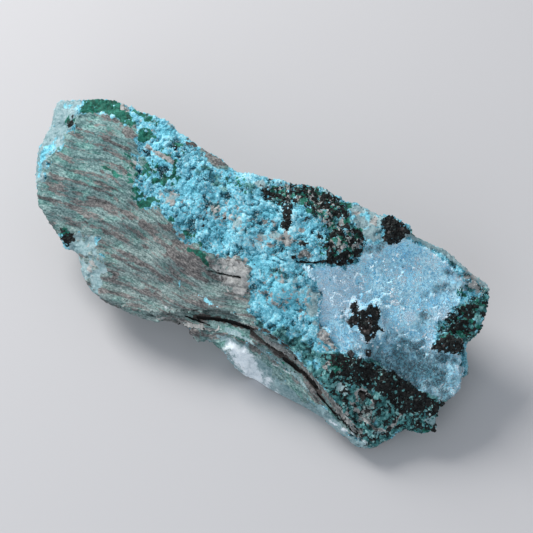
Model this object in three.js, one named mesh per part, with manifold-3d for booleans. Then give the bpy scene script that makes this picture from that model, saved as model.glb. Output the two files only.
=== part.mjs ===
// A chrysocolla and malachite specimen: one long rock with a quartz crust in its hollow
// and three clusters of black crystals. Millimetres, +Z up, +X along the rock, +Y to its back.
import * as THREE from 'three';
import { mergeVertices } from 'three/addons/utils/BufferGeometryUtils.js';
import Module from 'manifold-3d';

const wasm = await Module();
wasm.setup();

// Driving dimensions
const ROCK_LENGTH = 104;
const FIT_GAP = 0.3;
const CRUST_DEPTH = 1.7;
const CRUST_EDGE = 0.2;
const CRYSTAL_PITCH = 2.2;
const CRYSTAL_HEIGHT = [0.8, 1.9];
const VALLEY_RISE = 0.45;
const GRAIN_RELIEF = 0.75;
const GRAIN_SIZE = 3.4;
const DARK_RELIEF = 1.25;
const BAND_RELIEF = 0.5;
const BAND_WIDTH = 3.6;
const SIDE_RELIEF = 1.9;
const SIDE_LUMP = 6;
const CHIP_SIZE = 9;

// Shares: how far the crystals' corners and tips stray of their pitch, how much taller than wide the
// black crystals are, how much a chip steps and tilts, and how far a gap reaches out at a corner
const CORNER_STRAY = 0.1;
const TIP_STRAY = 0.16;
const BLACK_TALLNESS = 1.25;
const CHIP_STEP = 0.6;
const CHIP_TILT = 1.1;
const CORNER_REACH = 1.3;

// How finely the rock is faceted
const ALONG = 58;
const ACROSS = 22;

// The photograph's frame: pixels are placed on the rock by looking along this view
const VIEW_AZIMUTH = THREE.MathUtils.degToRad(34);
const VIEW_ELEVATION = THREE.MathUtils.degToRad(60);
const VIEW_DISTANCE = 300;
const VIEW_TARGET = new THREE.Vector3(6.35, 1.35, 14);
const PICTURE_CENTRE = [266.5, 266.5];
const LENGTH_PIXELS = 509;
const PIXELS_PER_MM = LENGTH_PIXELS / ROCK_LENGTH;

// The rim of the rock's top, as photograph pixels and heights above the base
const BACK_RIM = [
  [58, 101, 19.5], [80, 99, 22.5], [105, 97, 23.5], [128, 105, 24], [160, 118, 25], [188, 135, 25.2],
  [205, 149, 25.6], [226, 162, 26.6], [250, 173, 27.2], [280, 181, 27.4], [308, 184, 27], [328, 191, 26.5],
  [350, 199, 26], [372, 211, 25.4], [390, 218, 25.4], [408, 231, 24.4], [430, 241, 23.2], [452, 254, 22],
  [469, 270, 20.8], [485, 279, 19.5], [491, 288, 18.5],
];
const END_RIM = [
  [491, 288, 18.5], [488, 308, 17], [479, 328, 15.6], [462, 342, 14.6], [459, 360, 13.4], [459, 382, 12],
  [449, 398, 10], [438, 411, 8.4], [437, 430, 6.4],
];
const FRONT_RIM = [
  [88, 289, 9.6], [110, 300, 9.6], [150, 311, 10.6], [178, 311, 11.6], [205, 310, 12.8], [230, 315, 13.8],
  [250, 328, 14.2], [266, 334, 14.2], [284, 345, 13.8], [300, 361, 12.8], [317, 382, 11.4], [333, 402, 9.8],
  [350, 424, 7.4], [372, 444, 4.4], [391, 439, 4.8], [399, 429, 5.6], [416, 433, 5.4], [437, 430, 6.4],
];
const LEFT_RIM = [
  [58, 101, 19.5], [54, 121, 19], [43, 141, 18], [37, 163, 16.6], [37, 187, 15], [42, 210, 13.4],
  [60, 226, 12.2], [66, 241, 11.6], [77, 246, 11.4], [81, 270, 10.4], [88, 289, 9.6],
];

// Where the rock meets the surface that it lies on, as photograph pixels
const FOOT = [
  [90, 182], [112, 184], [158, 206], [200, 240], [243, 268], [298, 280], [350, 298], [404, 320],
  [438, 340], [452, 354], [446, 368], [436, 392], [430, 410], [424, 424], [397, 431], [370, 446],
  [352, 435], [322, 418], [290, 400], [262, 385], [240, 369], [224, 352], [200, 336], [170, 319],
  [140, 303], [118, 284], [104, 258], [92, 232], [84, 204],
];

// Heights of the top inside its rim
const TOP_HEIGHTS = [
  [80, 112, 24.4], [70, 138, 22], [55, 160, 19.6], [46, 184, 16.8], [72, 172, 20], [62, 202, 16.2],
  [102, 130, 24.4], [100, 170, 20.6], [96, 212, 16.8], [102, 250, 13.6], [104, 283, 10.8], [134, 130, 25.4],
  [132, 170, 22], [130, 212, 18.4], [132, 252, 15], [134, 294, 11.4], [172, 146, 26.4], [172, 200, 21.8],
  [172, 250, 17.2], [172, 298, 12.8], [212, 168, 27], [212, 205, 24.6], [212, 245, 20.4], [214, 292, 15.4],
  [250, 190, 28], [250, 222, 26.4], [250, 262, 22], [252, 304, 17.2], [292, 204, 28.4], [288, 240, 26.6],
  [284, 280, 22.4], [290, 320, 17.6], [300, 346, 14.8], [330, 210, 28], [322, 243, 27], [345, 225, 27.4],
  [330, 257, 26], [358, 242, 25.6], [376, 228, 25.6], [300, 262, 25], [312, 290, 21.4], [312, 322, 18.2],
  [338, 282, 20.6], [336, 310, 18.8], [362, 262, 21], [366, 290, 19.4], [392, 252, 21.6], [400, 276, 19.6],
  [424, 262, 20.6], [446, 270, 20.2], [446, 296, 17.8], [470, 290, 18.6], [410, 308, 17.2], [440, 320, 15.8],
  [372, 322, 17.2], [340, 340, 17.4], [400, 345, 14.6], [438, 352, 13.2], [442, 378, 12], [414, 372, 12.6],
  [352, 356, 16], [384, 368, 14.4], [416, 390, 11.8], [436, 400, 10.4], [330, 362, 14.8], [344, 384, 13],
  [372, 398, 11.6], [402, 412, 9.4], [424, 416, 8.2], [360, 420, 9.2], [384, 426, 7.8],
];

// Outlines of the regions on the top
const BANDED_FACE = [
  [66, 146], [92, 114], [134, 124], [140, 160], [138, 190], [150, 207], [175, 233], [205, 262], [246, 276],
  [250, 300], [262, 333], [205, 312], [150, 312], [110, 302], [80, 262], [62, 230], [40, 205], [44, 172],
];
const DARK_PATCH = [
  [260, 190], [284, 182], [312, 186], [345, 203], [352, 222], [366, 236], [362, 252], [342, 268],
  [320, 264], [298, 262], [305, 248], [328, 244], [302, 226], [284, 226], [278, 210],
];
const GRANULAR_END = [
  [324, 352], [345, 356], [375, 366], [402, 380], [438, 400], [438, 430], [410, 433], [386, 442],
  [372, 444], [345, 416], [322, 388],
];
const HOLLOW = [
  [308, 268], [330, 268], [350, 266], [364, 252], [384, 246], [408, 242], [430, 251], [452, 264],
  [466, 278], [476, 292], [470, 308], [458, 320], [448, 334], [446, 352], [448, 372], [440, 388],
  [424, 386], [405, 377], [385, 367], [362, 357], [344, 350], [330, 338], [318, 318], [320, 296],
];

// Deep pits between the turquoise grains and in the granular end: pixel, radius and depth
const PITS = [
  [194, 170, 1.5, 1.8], [214, 173, 1.3, 1.5], [222, 200, 1.4, 1.6], [203, 219, 1.6, 1.7],
  [192, 158, 1.4, 1.6], [252, 240, 1.3, 1.2], [296, 300, 1.4, 1.2], [364, 394, 1.9, 2.2],
  [345, 372, 1.4, 1.5], [398, 398, 1.4, 1.5], [420, 404, 1.3, 1.3], [64, 122, 1.3, 1.2],
];
// Cracks and steps across the top: pixels along each, half width and depth
const CRACKS = [
  { path: [[297, 263], [312, 264], [331, 263], [350, 259], [361, 251], [366, 243]], half: 1.1, depth: 2.2 },
  { path: [[209, 271], [224, 272], [241, 277]], half: 0.9, depth: 1.3 },
  { path: [[290, 364], [303, 374], [318, 392], [337, 416], [354, 436]], half: 0.9, depth: 1.4 },
  { path: [[276, 348], [296, 361], [309, 379]], half: 0.8, depth: 0.9 },
  { path: [[60, 176], [88, 186], [118, 196]], half: 0.8, depth: 0.7 },
  { path: [[80, 130], [105, 140], [130, 150]], half: 0.8, depth: 0.7 },
  { path: [[90, 250], [120, 258], [152, 268]], half: 0.8, depth: 0.7 },
];

// The side's profile in each stretch of the rim, from the top down: share of the drop and outset
const SIDE_PROFILES = {
  back: [[0.06, 0.4], [0.17, 1.8], [0.32, 1.2], [0.46, 2.6], [0.62, 1.8], [0.8, 2.4], [0.94, 1.0]],
  end: [[0.08, 0.5], [0.2, 1.0], [0.34, 0.5], [0.5, 1.4], [0.66, 1.0], [0.8, 1.4], [0.93, 0.6]],
  corner: [[0.14, 0.4], [0.28, 0.2], [0.42, 0.5], [0.56, 0.3], [0.7, 0.4], [0.84, 0.3], [0.95, 0.1]],
  front: [[0.09, -1.5], [0.15, -1.7], [0.2, 0.5], [0.27, -0.5], [0.34, 0.9], [0.64, 1.2], [0.92, 0.4]],
  sheets: [[0.1, -2.2], [0.16, -2.0], [0.22, 3.4], [0.3, 2.6], [0.38, 4.6], [0.5, 3.0], [0.8, 0.4]],
  ledge: [[0.06, 0.2], [0.12, -0.6], [0.16, 1.2], [0.26, 0.3], [0.42, 0.2], [0.62, 0.0], [0.84, 0.0]],
  left: [[0.08, 0.7], [0.2, 1.1], [0.34, 0.6], [0.5, 1.3], [0.66, 0.9], [0.8, 1.2], [0.94, 0.4]],
};
// Which profile holds where, as pixels on the rim going clockwise
const SIDE_STATIONS = [
  [80, 99, 'back'], [452, 254, 'back'], [488, 300, 'end'], [459, 382, 'end'], [437, 418, 'corner'],
  [399, 430, 'corner'], [366, 439, 'front'], [262, 332, 'front'], [226, 314, 'sheets'],
  [200, 310, 'sheets'], [170, 311, 'ledge'], [100, 295, 'ledge'], [66, 240, 'left'], [40, 160, 'left'],
];

// Black crystals: pixel, lift above the surface, edge, turn and lean in degrees
const CLUSTERS = {
  black_crystals_rim: [
    [388, 225, 0.3, 2.4, 20, 14], [394, 231, 0.6, 2.8, 55, 24], [401, 235, 0.4, 2.2, 10, 30],
    [396, 240, 0.2, 2.0, 70, 12], [389, 236, 0.5, 2.0, 35, 40], [405, 231, 0.1, 1.7, 80, 20],
    [386, 241, 0.0, 1.5, 5, 35],
  ],
  black_crystals_centre: [
    [356, 308, 0.6, 2.3, 15, 20], [363, 315, 1.0, 2.8, 50, 30], [373, 309, 0.7, 2.2, 75, 16],
    [371, 319, 1.0, 2.5, 30, 38], [356, 321, 0.5, 2.2, 62, 12], [366, 328, 0.7, 2.6, 8, 26],
    [376, 328, 0.4, 1.9, 44, 34], [367, 336, 0.4, 1.9, 24, 18], [349, 314, 0.2, 1.5, 85, 22],
    [350, 324, 0.2, 1.4, 38, 30],
  ],
  black_crystals_end: [
    [438, 346, 0.3, 2.1, 25, 22], [446, 343, 0.6, 2.3, 60, 14], [454, 344, 0.4, 2.2, 12, 34],
    [448, 349, 0.3, 1.9, 48, 26], [441, 340, 0.2, 1.6, 78, 18],
  ],
};

// Colours and finishes
const FINISHES = {
  rock: { color: 0x5fa3a0, roughness: 0.9, metalness: 0 },
  quartz: { color: 0xb9dcea, roughness: 0.2, metalness: 0 },
  black: { color: 0x17191a, roughness: 0.4, metalness: 0.2 },
};

// View axes: to the right in the photograph, up in it, and towards the eye
const [SIN_A, COS_A] = [Math.sin(VIEW_AZIMUTH), Math.cos(VIEW_AZIMUTH)];
const [SIN_E, COS_E] = [Math.sin(VIEW_ELEVATION), Math.cos(VIEW_ELEVATION)];
const VIEW_RIGHT = new THREE.Vector3(COS_A, SIN_A, 0);
const VIEW_UP = new THREE.Vector3(-SIN_A * SIN_E, COS_A * SIN_E, COS_E);
const VIEW_BACK = new THREE.Vector3(SIN_A * COS_E, -COS_A * COS_E, SIN_E);

// The point at height z that the photograph shows at a pixel
function fromPhoto([px, py], z) {
  const across = (px - PICTURE_CENTRE[0]) / PIXELS_PER_MM;
  const up = (PICTURE_CENTRE[1] - py) / PIXELS_PER_MM;
  const eye = VIEW_TARGET.clone().addScaledVector(VIEW_BACK, VIEW_DISTANCE);
  const seen = VIEW_TARGET.clone().addScaledVector(VIEW_RIGHT, across).addScaledVector(VIEW_UP, up);
  const ray = seen.sub(eye);
  return eye.addScaledVector(ray, (z - eye.z) / ray.z);
}

// The pixel at which the photograph shows a point
function toPhoto(point) {
  const from = point.clone().sub(VIEW_TARGET);
  const scale = PIXELS_PER_MM / (1 - from.dot(VIEW_BACK) / VIEW_DISTANCE);
  return [PICTURE_CENTRE[0] + from.dot(VIEW_RIGHT) * scale, PICTURE_CENTRE[1] - from.dot(VIEW_UP) * scale];
}

// A repeatable number from 0 to 1 for whole numbers
function chance(i, j = 0, k = 0) {
  const wave = Math.sin(i * 127.1 + j * 311.7 + k * 74.7 + 19.19) * 43758.5453;
  return wave - Math.floor(wave);
}

// A repeatable number from -1 to 1
const stray = (i, j, k) => 2 * chance(i, j, k) - 1;

// Smooth noise from -1 to 1
function noise(x, y, z = 0) {
  const [i, j, k] = [Math.floor(x), Math.floor(y), Math.floor(z)];
  const ease = (t) => t * t * (3 - 2 * t);
  const [u, v, w] = [ease(x - i), ease(y - j), ease(z - k)];
  const mix = THREE.MathUtils.lerp;
  const edge = (dj, dk) => mix(chance(i, j + dj, k + dk), chance(i + 1, j + dj, k + dk), u);
  return 2 * mix(mix(edge(0, 0), edge(1, 0), v), mix(edge(0, 1), edge(1, 1), v), w) - 1;
}

// Flat chips that meet in small steps, about -1 to 1, each with a level and a tilt of its own
function chips(x, y, z, size) {
  const cell = [x, y, z].map((value) => Math.floor(value / size));
  let nearest = Infinity;
  let level = 0;
  for (let n = 0; n < 27; n += 1) {
    const i = cell[0] + (n % 3) - 1;
    const j = cell[1] + (Math.floor(n / 3) % 3) - 1;
    const k = cell[2] + Math.floor(n / 9) - 1;
    const dx = x / size - i - chance(i, j, k);
    const dy = y / size - j - chance(j, k, i + 7);
    const dz = z / size - k - chance(k, i, j + 13);
    const away = dx * dx + dy * dy + dz * dz;
    if (away < nearest) {
      nearest = away;
      const lean = (axis) => CHIP_TILT * stray(i + axis, j, k + 29);
      level = CHIP_STEP * stray(i, j + 17, k) + dx * lean(1) + dy * lean(2) + dz * lean(3);
    }
  }
  return level;
}

function distanceToStretch([x, y], [ax, ay], [bx, by]) {
  const [dx, dy] = [bx - ax, by - ay];
  const t = THREE.MathUtils.clamp(((x - ax) * dx + (y - ay) * dy) / (dx * dx + dy * dy), 0, 1);
  return Math.hypot(x - ax - t * dx, y - ay - t * dy);
}

// Pixels from a point to an outline, positive inside it
function depthInside(point, outline) {
  let inside = false;
  let nearest = Infinity;
  outline.forEach((a, n) => {
    const b = outline[(n + 1) % outline.length];
    nearest = Math.min(nearest, distanceToStretch(point, a, b));
    const crosses = (a[1] > point[1]) !== (b[1] > point[1]);
    if (crosses && point[0] < ((b[0] - a[0]) * (point[1] - a[1])) / (b[1] - a[1]) + a[0]) inside = !inside;
  });
  return inside ? nearest : -nearest;
}

// From 0 outside an outline to 1 well inside it, over a few pixels
const within = (pixel, outline) => THREE.MathUtils.smoothstep(depthInside(pixel, outline), -4, 8);

const HEIGHT_MARKS = [...BACK_RIM, ...END_RIM, ...FRONT_RIM, ...LEFT_RIM, ...TOP_HEIGHTS].map(
  ([px, py, z]) => fromPhoto([px, py], z),
);

// The top's height without its fine relief, from the nearest marks
function topHeight(x, y) {
  const reach = 4;
  let total = 0;
  let sum = 0;
  for (const mark of HEIGHT_MARKS) {
    const weight = 1 / ((x - mark.x) ** 2 + (y - mark.y) ** 2 + reach) ** 2;
    total += weight;
    sum += weight * mark.z;
  }
  return sum / total;
}

// The point of the top, without its fine relief, that the photograph shows at a pixel
function onTop(pixel) {
  let point = fromPhoto(pixel, VIEW_TARGET.z);
  for (let n = 0; n < 4; n += 1) point = fromPhoto(pixel, topHeight(point.x, point.y));
  return point;
}

function grains(x, y, size) {
  const coarse = noise(x / size, y / size, 4);
  return 0.65 * coarse + 0.35 * noise((2.1 * x) / size, (2.1 * y) / size, 9);
}

// Ridges that run along the banded face, each rising slowly and ending in a small step
function bands(pixel) {
  const [px, py] = pixel;
  const across = (py - 0.33 * px + 6 * noise(px / 60, py / 60, 3)) / PIXELS_PER_MM;
  const phase = across / BAND_WIDTH + 0.35 * noise(px / 45, py / 20, 7);
  return (phase - Math.floor(phase)) * 2 - 1;
}

// The top's surface with grains, ridges, pits and cracks
function relief(x, y) {
  const z = topHeight(x, y);
  const pixel = toPhoto(new THREE.Vector3(x, y, z));
  const banded = within(pixel, BANDED_FACE);
  const dark = Math.max(within(pixel, DARK_PATCH), within(pixel, GRANULAR_END));
  const hollow = within(pixel, HOLLOW);
  const plain = (1 - banded) * (1 - dark) * (1 - hollow);
  let rise = plain * GRAIN_RELIEF * (grains(x, y, GRAIN_SIZE) + 0.7 * chips(x, y, z, 0.7 * CHIP_SIZE));
  rise += dark * (1 - hollow) * DARK_RELIEF * grains(x + 31, y, GRAIN_SIZE);
  rise += banded * BAND_RELIEF * bands(pixel);
  for (const [px, py, radius, depth] of PITS) {
    const away = Math.hypot(pixel[0] - px, pixel[1] - py) / PIXELS_PER_MM / radius;
    rise -= depth * Math.max(0, 1 - away * away);
  }
  for (const { path, half, depth } of CRACKS) {
    for (let n = 1; n < path.length; n += 1) {
      const away = distanceToStretch(pixel, path[n - 1], path[n]) / PIXELS_PER_MM / half;
      if (away < 1) rise = Math.min(rise, -depth * (1 - away));
    }
  }
  return z + rise;
}

const alongRim = (rim, count) =>
  new THREE.CatmullRomCurve3(rim.map(([px, py, z]) => fromPhoto([px, py], z)), false, 'centripetal')
    .getSpacedPoints(count);

function closedMesh(positions, triangles) {
  const geometry = new THREE.BufferGeometry();
  geometry.setAttribute('position', new THREE.Float32BufferAttribute(positions.flat(), 3));
  geometry.setIndex(triangles.flat());
  return geometry;
}

// A solid from a geometry, with shared corners merged
function solid(geometry) {
  const bare = geometry.clone();
  bare.deleteAttribute('normal');
  bare.deleteAttribute('uv');
  const merged = mergeVertices(bare, 1e-5);
  const vertProperties = new Float32Array(merged.attributes.position.array);
  const triVerts = new Uint32Array(merged.index.array);
  return new wasm.Manifold(new wasm.Mesh({ numProp: 3, vertProperties, triVerts }));
}

// The net of points over the rock's top, filled in between its four rims
function topNet() {
  const [back, end] = [alongRim(BACK_RIM, ALONG), alongRim(END_RIM, ACROSS)];
  const [front, left] = [alongRim(FRONT_RIM, ALONG), alongRim(LEFT_RIM, ACROSS)];
  for (const point of [...back, ...end, ...front, ...left]) {
    point.rest = point.z - topHeight(point.x, point.y);
  }
  const corner = { a: back[0], b: back[ALONG], c: end[ACROSS], d: front[0] };
  const net = [];
  for (let j = 0; j <= ACROSS; j += 1) {
    const v = j / ACROSS;
    for (let i = 0; i <= ALONG; i += 1) {
      const u = i / ALONG;
      const blend = (axis) =>
        (1 - v) * back[i][axis] + v * front[i][axis] + (1 - u) * left[j][axis] + u * end[j][axis]
        - (1 - v) * ((1 - u) * corner.a[axis] + u * corner.b[axis])
        - v * ((1 - u) * corner.d[axis] + u * corner.c[axis]);
      const [x, y] = [blend('x'), blend('y')];
      net.push([x, y, relief(x, y) + blend('rest')]);
    }
  }
  return net;
}

// The net's border, clockwise in the photograph from the top left corner
function borderIndices() {
  const at = (i, j) => j * (ALONG + 1) + i;
  const border = [];
  for (let i = 0; i < ALONG; i += 1) border.push(at(i, 0));
  for (let j = 0; j < ACROSS; j += 1) border.push(at(ALONG, j));
  for (let i = ALONG; i > 0; i -= 1) border.push(at(i, ACROSS));
  for (let j = ACROSS; j > 0; j -= 1) border.push(at(0, j));
  return border;
}

// The side profile at each border point, mixed between the two stations beside it
function sideProfiles(border, net) {
  const pixels = border.map((n) => toPhoto(new THREE.Vector3(...net[n])));
  const nearest = ([px, py]) => {
    const gaps = pixels.map(([x, y]) => Math.hypot(x - px, y - py));
    return gaps.indexOf(Math.min(...gaps));
  };
  const stations = SIDE_STATIONS.map(([px, py, name]) => {
    return { at: nearest([px, py]), rows: SIDE_PROFILES[name] };
  });
  stations.sort((a, b) => a.at - b.at);
  return border.map((_, n) => {
    const next = stations.find((s) => s.at > n) ?? { ...stations[0], at: stations[0].at + border.length };
    const before = [...stations].reverse().find((s) => s.at <= n)
      ?? { ...stations.at(-1), at: stations.at(-1).at - border.length };
    const t = THREE.MathUtils.smoothstep(n, before.at, next.at);
    return before.rows.map(([drop, out], row) => [
      THREE.MathUtils.lerp(drop, next.rows[row][0], t),
      THREE.MathUtils.lerp(out, next.rows[row][1], t),
    ]);
  });
}

// Directions straight out from the rim in plan, smoothed along it
function outwards(loop, reach = 5) {
  return loop.map((_, n) => {
    const before = loop[(n - reach + loop.length) % loop.length];
    const after = loop[(n + reach) % loop.length];
    return new THREE.Vector2(before[1] - after[1], after[0] - before[0]).normalize();
  });
}

// The rock before anything is cut from it: its top, its sides ring by ring, and its flat foot
function rawRock() {
  const points = topNet();
  const border = borderIndices();
  const triangles = [];
  for (let j = 0; j < ACROSS; j += 1) {
    for (let i = 0; i < ALONG; i += 1) {
      const a = j * (ALONG + 1) + i;
      const [b, c, d] = [a + 1, a + ALONG + 2, a + ALONG + 1];
      const evenSplit = Math.abs(points[a][2] - points[c][2]) < Math.abs(points[b][2] - points[d][2]);
      triangles.push(...(evenSplit ? [[a, d, c], [a, c, b]] : [[a, d, b], [b, d, c]]));
    }
  }
  const rim = border.map((n) => points[n]);
  const foot = new THREE.CatmullRomCurve3(FOOT.map((pixel) => fromPhoto(pixel, 0)), true, 'centripetal')
    .getSpacedPoints(border.length)
    .slice(0, border.length);
  const out = outwards(rim);
  const profiles = sideProfiles(border, points);
  let above = border;
  const addRing = (ringPoints) => {
    const ring = ringPoints.map((point) => points.push(point) - 1);
    ring.forEach((_, n) => {
      const m = (n + 1) % ring.length;
      triangles.push([above[n], above[m], ring[n]], [above[m], ring[m], ring[n]]);
    });
    above = ring;
  };
  for (let row = 0; row < SIDE_PROFILES.back.length; row += 1) {
    addRing(rim.map(([x, y, z], n) => {
      const [drop, outset] = profiles[n][row];
      const down = THREE.MathUtils.smoothstep(drop, 0, 1) * 0.5 + drop * 0.5;
      const [bx, by] = [THREE.MathUtils.lerp(x, foot[n].x, down), THREE.MathUtils.lerp(y, foot[n].y, down)];
      const height = z * (1 - drop);
      const lump = noise(bx / SIDE_LUMP + 50, by / SIDE_LUMP, height / SIDE_LUMP);
      const broken = 0.4 * lump + 0.8 * chips(bx, by, height, CHIP_SIZE);
      const rough = SIDE_RELIEF * broken * Math.min(1, 6 * drop, 6 * (1 - drop));
      return [bx + out[n].x * (outset + rough), by + out[n].y * (outset + rough), height];
    }));
  }
  addRing(foot.map((point) => [point.x, point.y, 0]));
  const outline = foot.map((point) => new THREE.Vector2(point.x, point.y));
  THREE.ShapeUtils.triangulateShape(outline, []).forEach(([a, b, c]) => {
    triangles.push([above[c], above[b], above[a]]);
  });
  return closedMesh(points, triangles);
}

// The six-sided cells of the crust, on shared corners that are shifted a little
function crustCells() {
  const rowStep = (CRYSTAL_PITCH * Math.sqrt(3)) / 2;
  const corners = new Map();
  const cornerAt = (x, y) => {
    const key = [x, y].map((value) => value.toFixed(1)).join();
    if (!corners.has(key)) {
      const seed = corners.size;
      corners.set(key, {
        x: x + CORNER_STRAY * CRYSTAL_PITCH * stray(seed, 1),
        y: y + CORNER_STRAY * CRYSTAL_PITCH * stray(seed, 2),
        cells: [],
      });
    }
    return corners.get(key);
  };
  const cells = [];
  const reach = new THREE.Box3().setFromPoints(HOLLOW.map(onTop));
  for (let j = Math.floor(reach.min.y / rowStep); j * rowStep <= reach.max.y; j += 1) {
    for (let i = Math.floor(reach.min.x / CRYSTAL_PITCH); i * CRYSTAL_PITCH <= reach.max.x; i += 1) {
      const [x, y] = [(i + (j & 1) / 2) * CRYSTAL_PITCH, j * rowStep];
      const pixel = toPhoto(new THREE.Vector3(x, y, topHeight(x, y)));
      if (depthInside(pixel, HOLLOW) / PIXELS_PER_MM < CRUST_EDGE) continue;
      const cell = { x, y, corners: [] };
      for (let k = 0; k < 6; k += 1) {
        const turn = Math.PI / 6 + (k * Math.PI) / 3;
        const radius = CRYSTAL_PITCH / Math.sqrt(3);
        const corner = cornerAt(x + radius * Math.cos(turn), y + radius * Math.sin(turn));
        corner.cells.push(cell);
        cell.corners.push(corner);
      }
      cells.push(cell);
    }
  }
  return { cells, corners: [...corners.values()] };
}

// The crust or, with a gap and a height, the space that is cut in the rock for it
function crustSolid({ cells, corners }, gap, lid) {
  const positions = [];
  const add = (x, y, z) => positions.push([x, y, z]) - 1;
  corners.forEach((corner, n) => {
    const meanX = corner.cells.reduce((sum, cell) => sum + cell.x, 0) / corner.cells.length;
    const meanY = corner.cells.reduce((sum, cell) => sum + cell.y, 0) / corner.cells.length;
    const onEdge = corner.cells.length < 3;
    const away = new THREE.Vector2(corner.x - meanX, corner.y - meanY);
    away.setLength(onEdge ? CORNER_REACH * gap : 0);
    const [x, y] = [corner.x + away.x, corner.y + away.y];
    const surface = topHeight(corner.x, corner.y);
    const rise = onEdge ? 0 : VALLEY_RISE * chance(n, 5);
    corner.top = add(x, y, lid ?? surface + rise);
    corner.bottom = add(x, y, surface - CRUST_DEPTH - gap);
  });
  const triangles = [];
  const sides = new Map();
  cells.forEach((cell, n) => {
    const [low, high] = CRYSTAL_HEIGHT;
    const lean = TIP_STRAY * CRYSTAL_PITCH;
    const [x, y] = [cell.x + lean * stray(n, 7), cell.y + lean * stray(n, 8)];
    const tip = add(x, y, lid ?? topHeight(x, y) + low + (high - low) * chance(n, 9));
    const middle = add(cell.x, cell.y, topHeight(cell.x, cell.y) - CRUST_DEPTH - gap);
    cell.corners.forEach((a, k) => {
      const b = cell.corners[(k + 1) % 6];
      triangles.push([a.top, b.top, tip], [b.bottom, a.bottom, middle]);
      const shared = `${b.top},${a.top}`;
      if (!sides.delete(shared)) sides.set(`${a.top},${b.top}`, [a, b]);
    });
  });
  for (const [a, b] of sides.values()) {
    triangles.push([a.top, a.bottom, b.bottom], [a.top, b.bottom, b.top]);
  }
  return solid(closedMesh(positions, triangles));
}

// One cluster of black crystals joined together, each grown by the gap all round
function clusterSolid(crystals, gap) {
  const parts = crystals.map(([px, py, lift, edge, turn, lean]) => {
    const middle = onTop([px, py]);
    const [size, tall] = [edge + 2 * gap, BLACK_TALLNESS * edge + 2 * gap];
    const crystal = new THREE.BoxGeometry(size, size, tall);
    crystal.rotateX(THREE.MathUtils.degToRad(lean));
    crystal.rotateZ(THREE.MathUtils.degToRad(turn));
    crystal.translate(middle.x, middle.y, middle.z + lift);
    return solid(crystal);
  });
  return parts.reduce((joined, part) => joined.add(part));
}

// The biggest body of a solid, without the chips that a cut left loose
function mainBody(body) {
  return body.decompose().reduce((biggest, other) => (other.volume() > biggest.volume() ? other : biggest));
}

function meshOf(name, body, finish) {
  const { vertProperties, triVerts } = mainBody(body).getMesh();
  const geometry = new THREE.BufferGeometry();
  geometry.setAttribute('position', new THREE.Float32BufferAttribute(vertProperties, 3));
  geometry.setIndex(Array.from(triVerts));
  const mesh = new THREE.Mesh(geometry, new THREE.MeshStandardMaterial(finish));
  mesh.name = name;
  return mesh;
}

const specimen = new THREE.Group();
const lattice = crustCells();
let rock = solid(rawRock()).subtract(crustSolid(lattice, FIT_GAP, 60));
let crust = crustSolid(lattice, 0, undefined);
for (const [name, crystals] of Object.entries(CLUSTERS)) {
  const seat = clusterSolid(crystals, FIT_GAP);
  rock = rock.subtract(seat);
  crust = crust.subtract(seat);
  specimen.add(meshOf(name, clusterSolid(crystals, 0), FINISHES.black));
}
specimen.add(meshOf('rock', rock, FINISHES.rock));
specimen.add(meshOf('quartz_druse', crust, FINISHES.quartz));

// The origin is under the middle of the whole specimen
const middle = new THREE.Box3().setFromObject(specimen).getCenter(new THREE.Vector3());
specimen.position.set(-middle.x, -middle.y, 0);

export default specimen;
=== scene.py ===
"""Looks of a chrysocolla and malachite specimen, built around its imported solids.

Everything is in metres in the solids' frame. The rock is refined from its solid. The regions of its surface
are placed by where the photograph shows them, and its sides, back and underside go on in the same minerals.
"""
import logging
import math
from dataclasses import dataclass, field
from enum import Enum
from typing import ClassVar, Sequence

import bpy
import numpy as np
from mathutils import Matrix, Vector
from mathutils.bvhtree import BVHTree


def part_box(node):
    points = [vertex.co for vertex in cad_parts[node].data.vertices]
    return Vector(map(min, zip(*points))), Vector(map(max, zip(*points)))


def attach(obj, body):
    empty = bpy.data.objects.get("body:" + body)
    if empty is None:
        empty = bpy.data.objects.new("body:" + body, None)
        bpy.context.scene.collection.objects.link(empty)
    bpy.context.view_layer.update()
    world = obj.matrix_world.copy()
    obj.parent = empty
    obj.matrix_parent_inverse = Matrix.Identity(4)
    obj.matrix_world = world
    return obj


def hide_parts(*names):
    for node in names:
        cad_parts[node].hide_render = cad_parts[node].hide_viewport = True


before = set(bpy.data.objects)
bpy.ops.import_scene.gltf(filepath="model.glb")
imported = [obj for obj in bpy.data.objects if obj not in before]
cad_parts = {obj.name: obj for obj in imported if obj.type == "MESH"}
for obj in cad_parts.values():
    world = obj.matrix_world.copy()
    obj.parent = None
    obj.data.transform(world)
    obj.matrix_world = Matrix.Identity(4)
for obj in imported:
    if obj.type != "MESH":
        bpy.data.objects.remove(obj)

LOG = logging.getLogger("specimen")
MM = 0.001
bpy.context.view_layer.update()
Pixel = tuple[float, float]
Colour = tuple[float, float, float]
Stops = tuple[tuple[float, Colour], ...]
Range = tuple[float, float]
Form = tuple[np.ndarray, np.ndarray]


class Mineral(Enum):
    """What the surface of the rock is made of, apart from the turquoise chrysocolla under it all, and where
    painted shade lies on it.
    """

    SKY = "sky"
    PALE = "pale"
    CHALK = "chalk"
    BANDED = "banded"
    STREAK = "streak"
    MALACHITE = "malachite"
    BROWN = "brown"
    BEIGE = "beige"
    DARK = "dark"
    # Deep teal, and painted shade on the crystal crust's lower right
    DEEP_AND_SHADE = "deep"
    ICE = "ice"
    FROST = "frost"
    # Painted shadow in the gaps and cracks
    GAP_SHADE = "gap"


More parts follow.
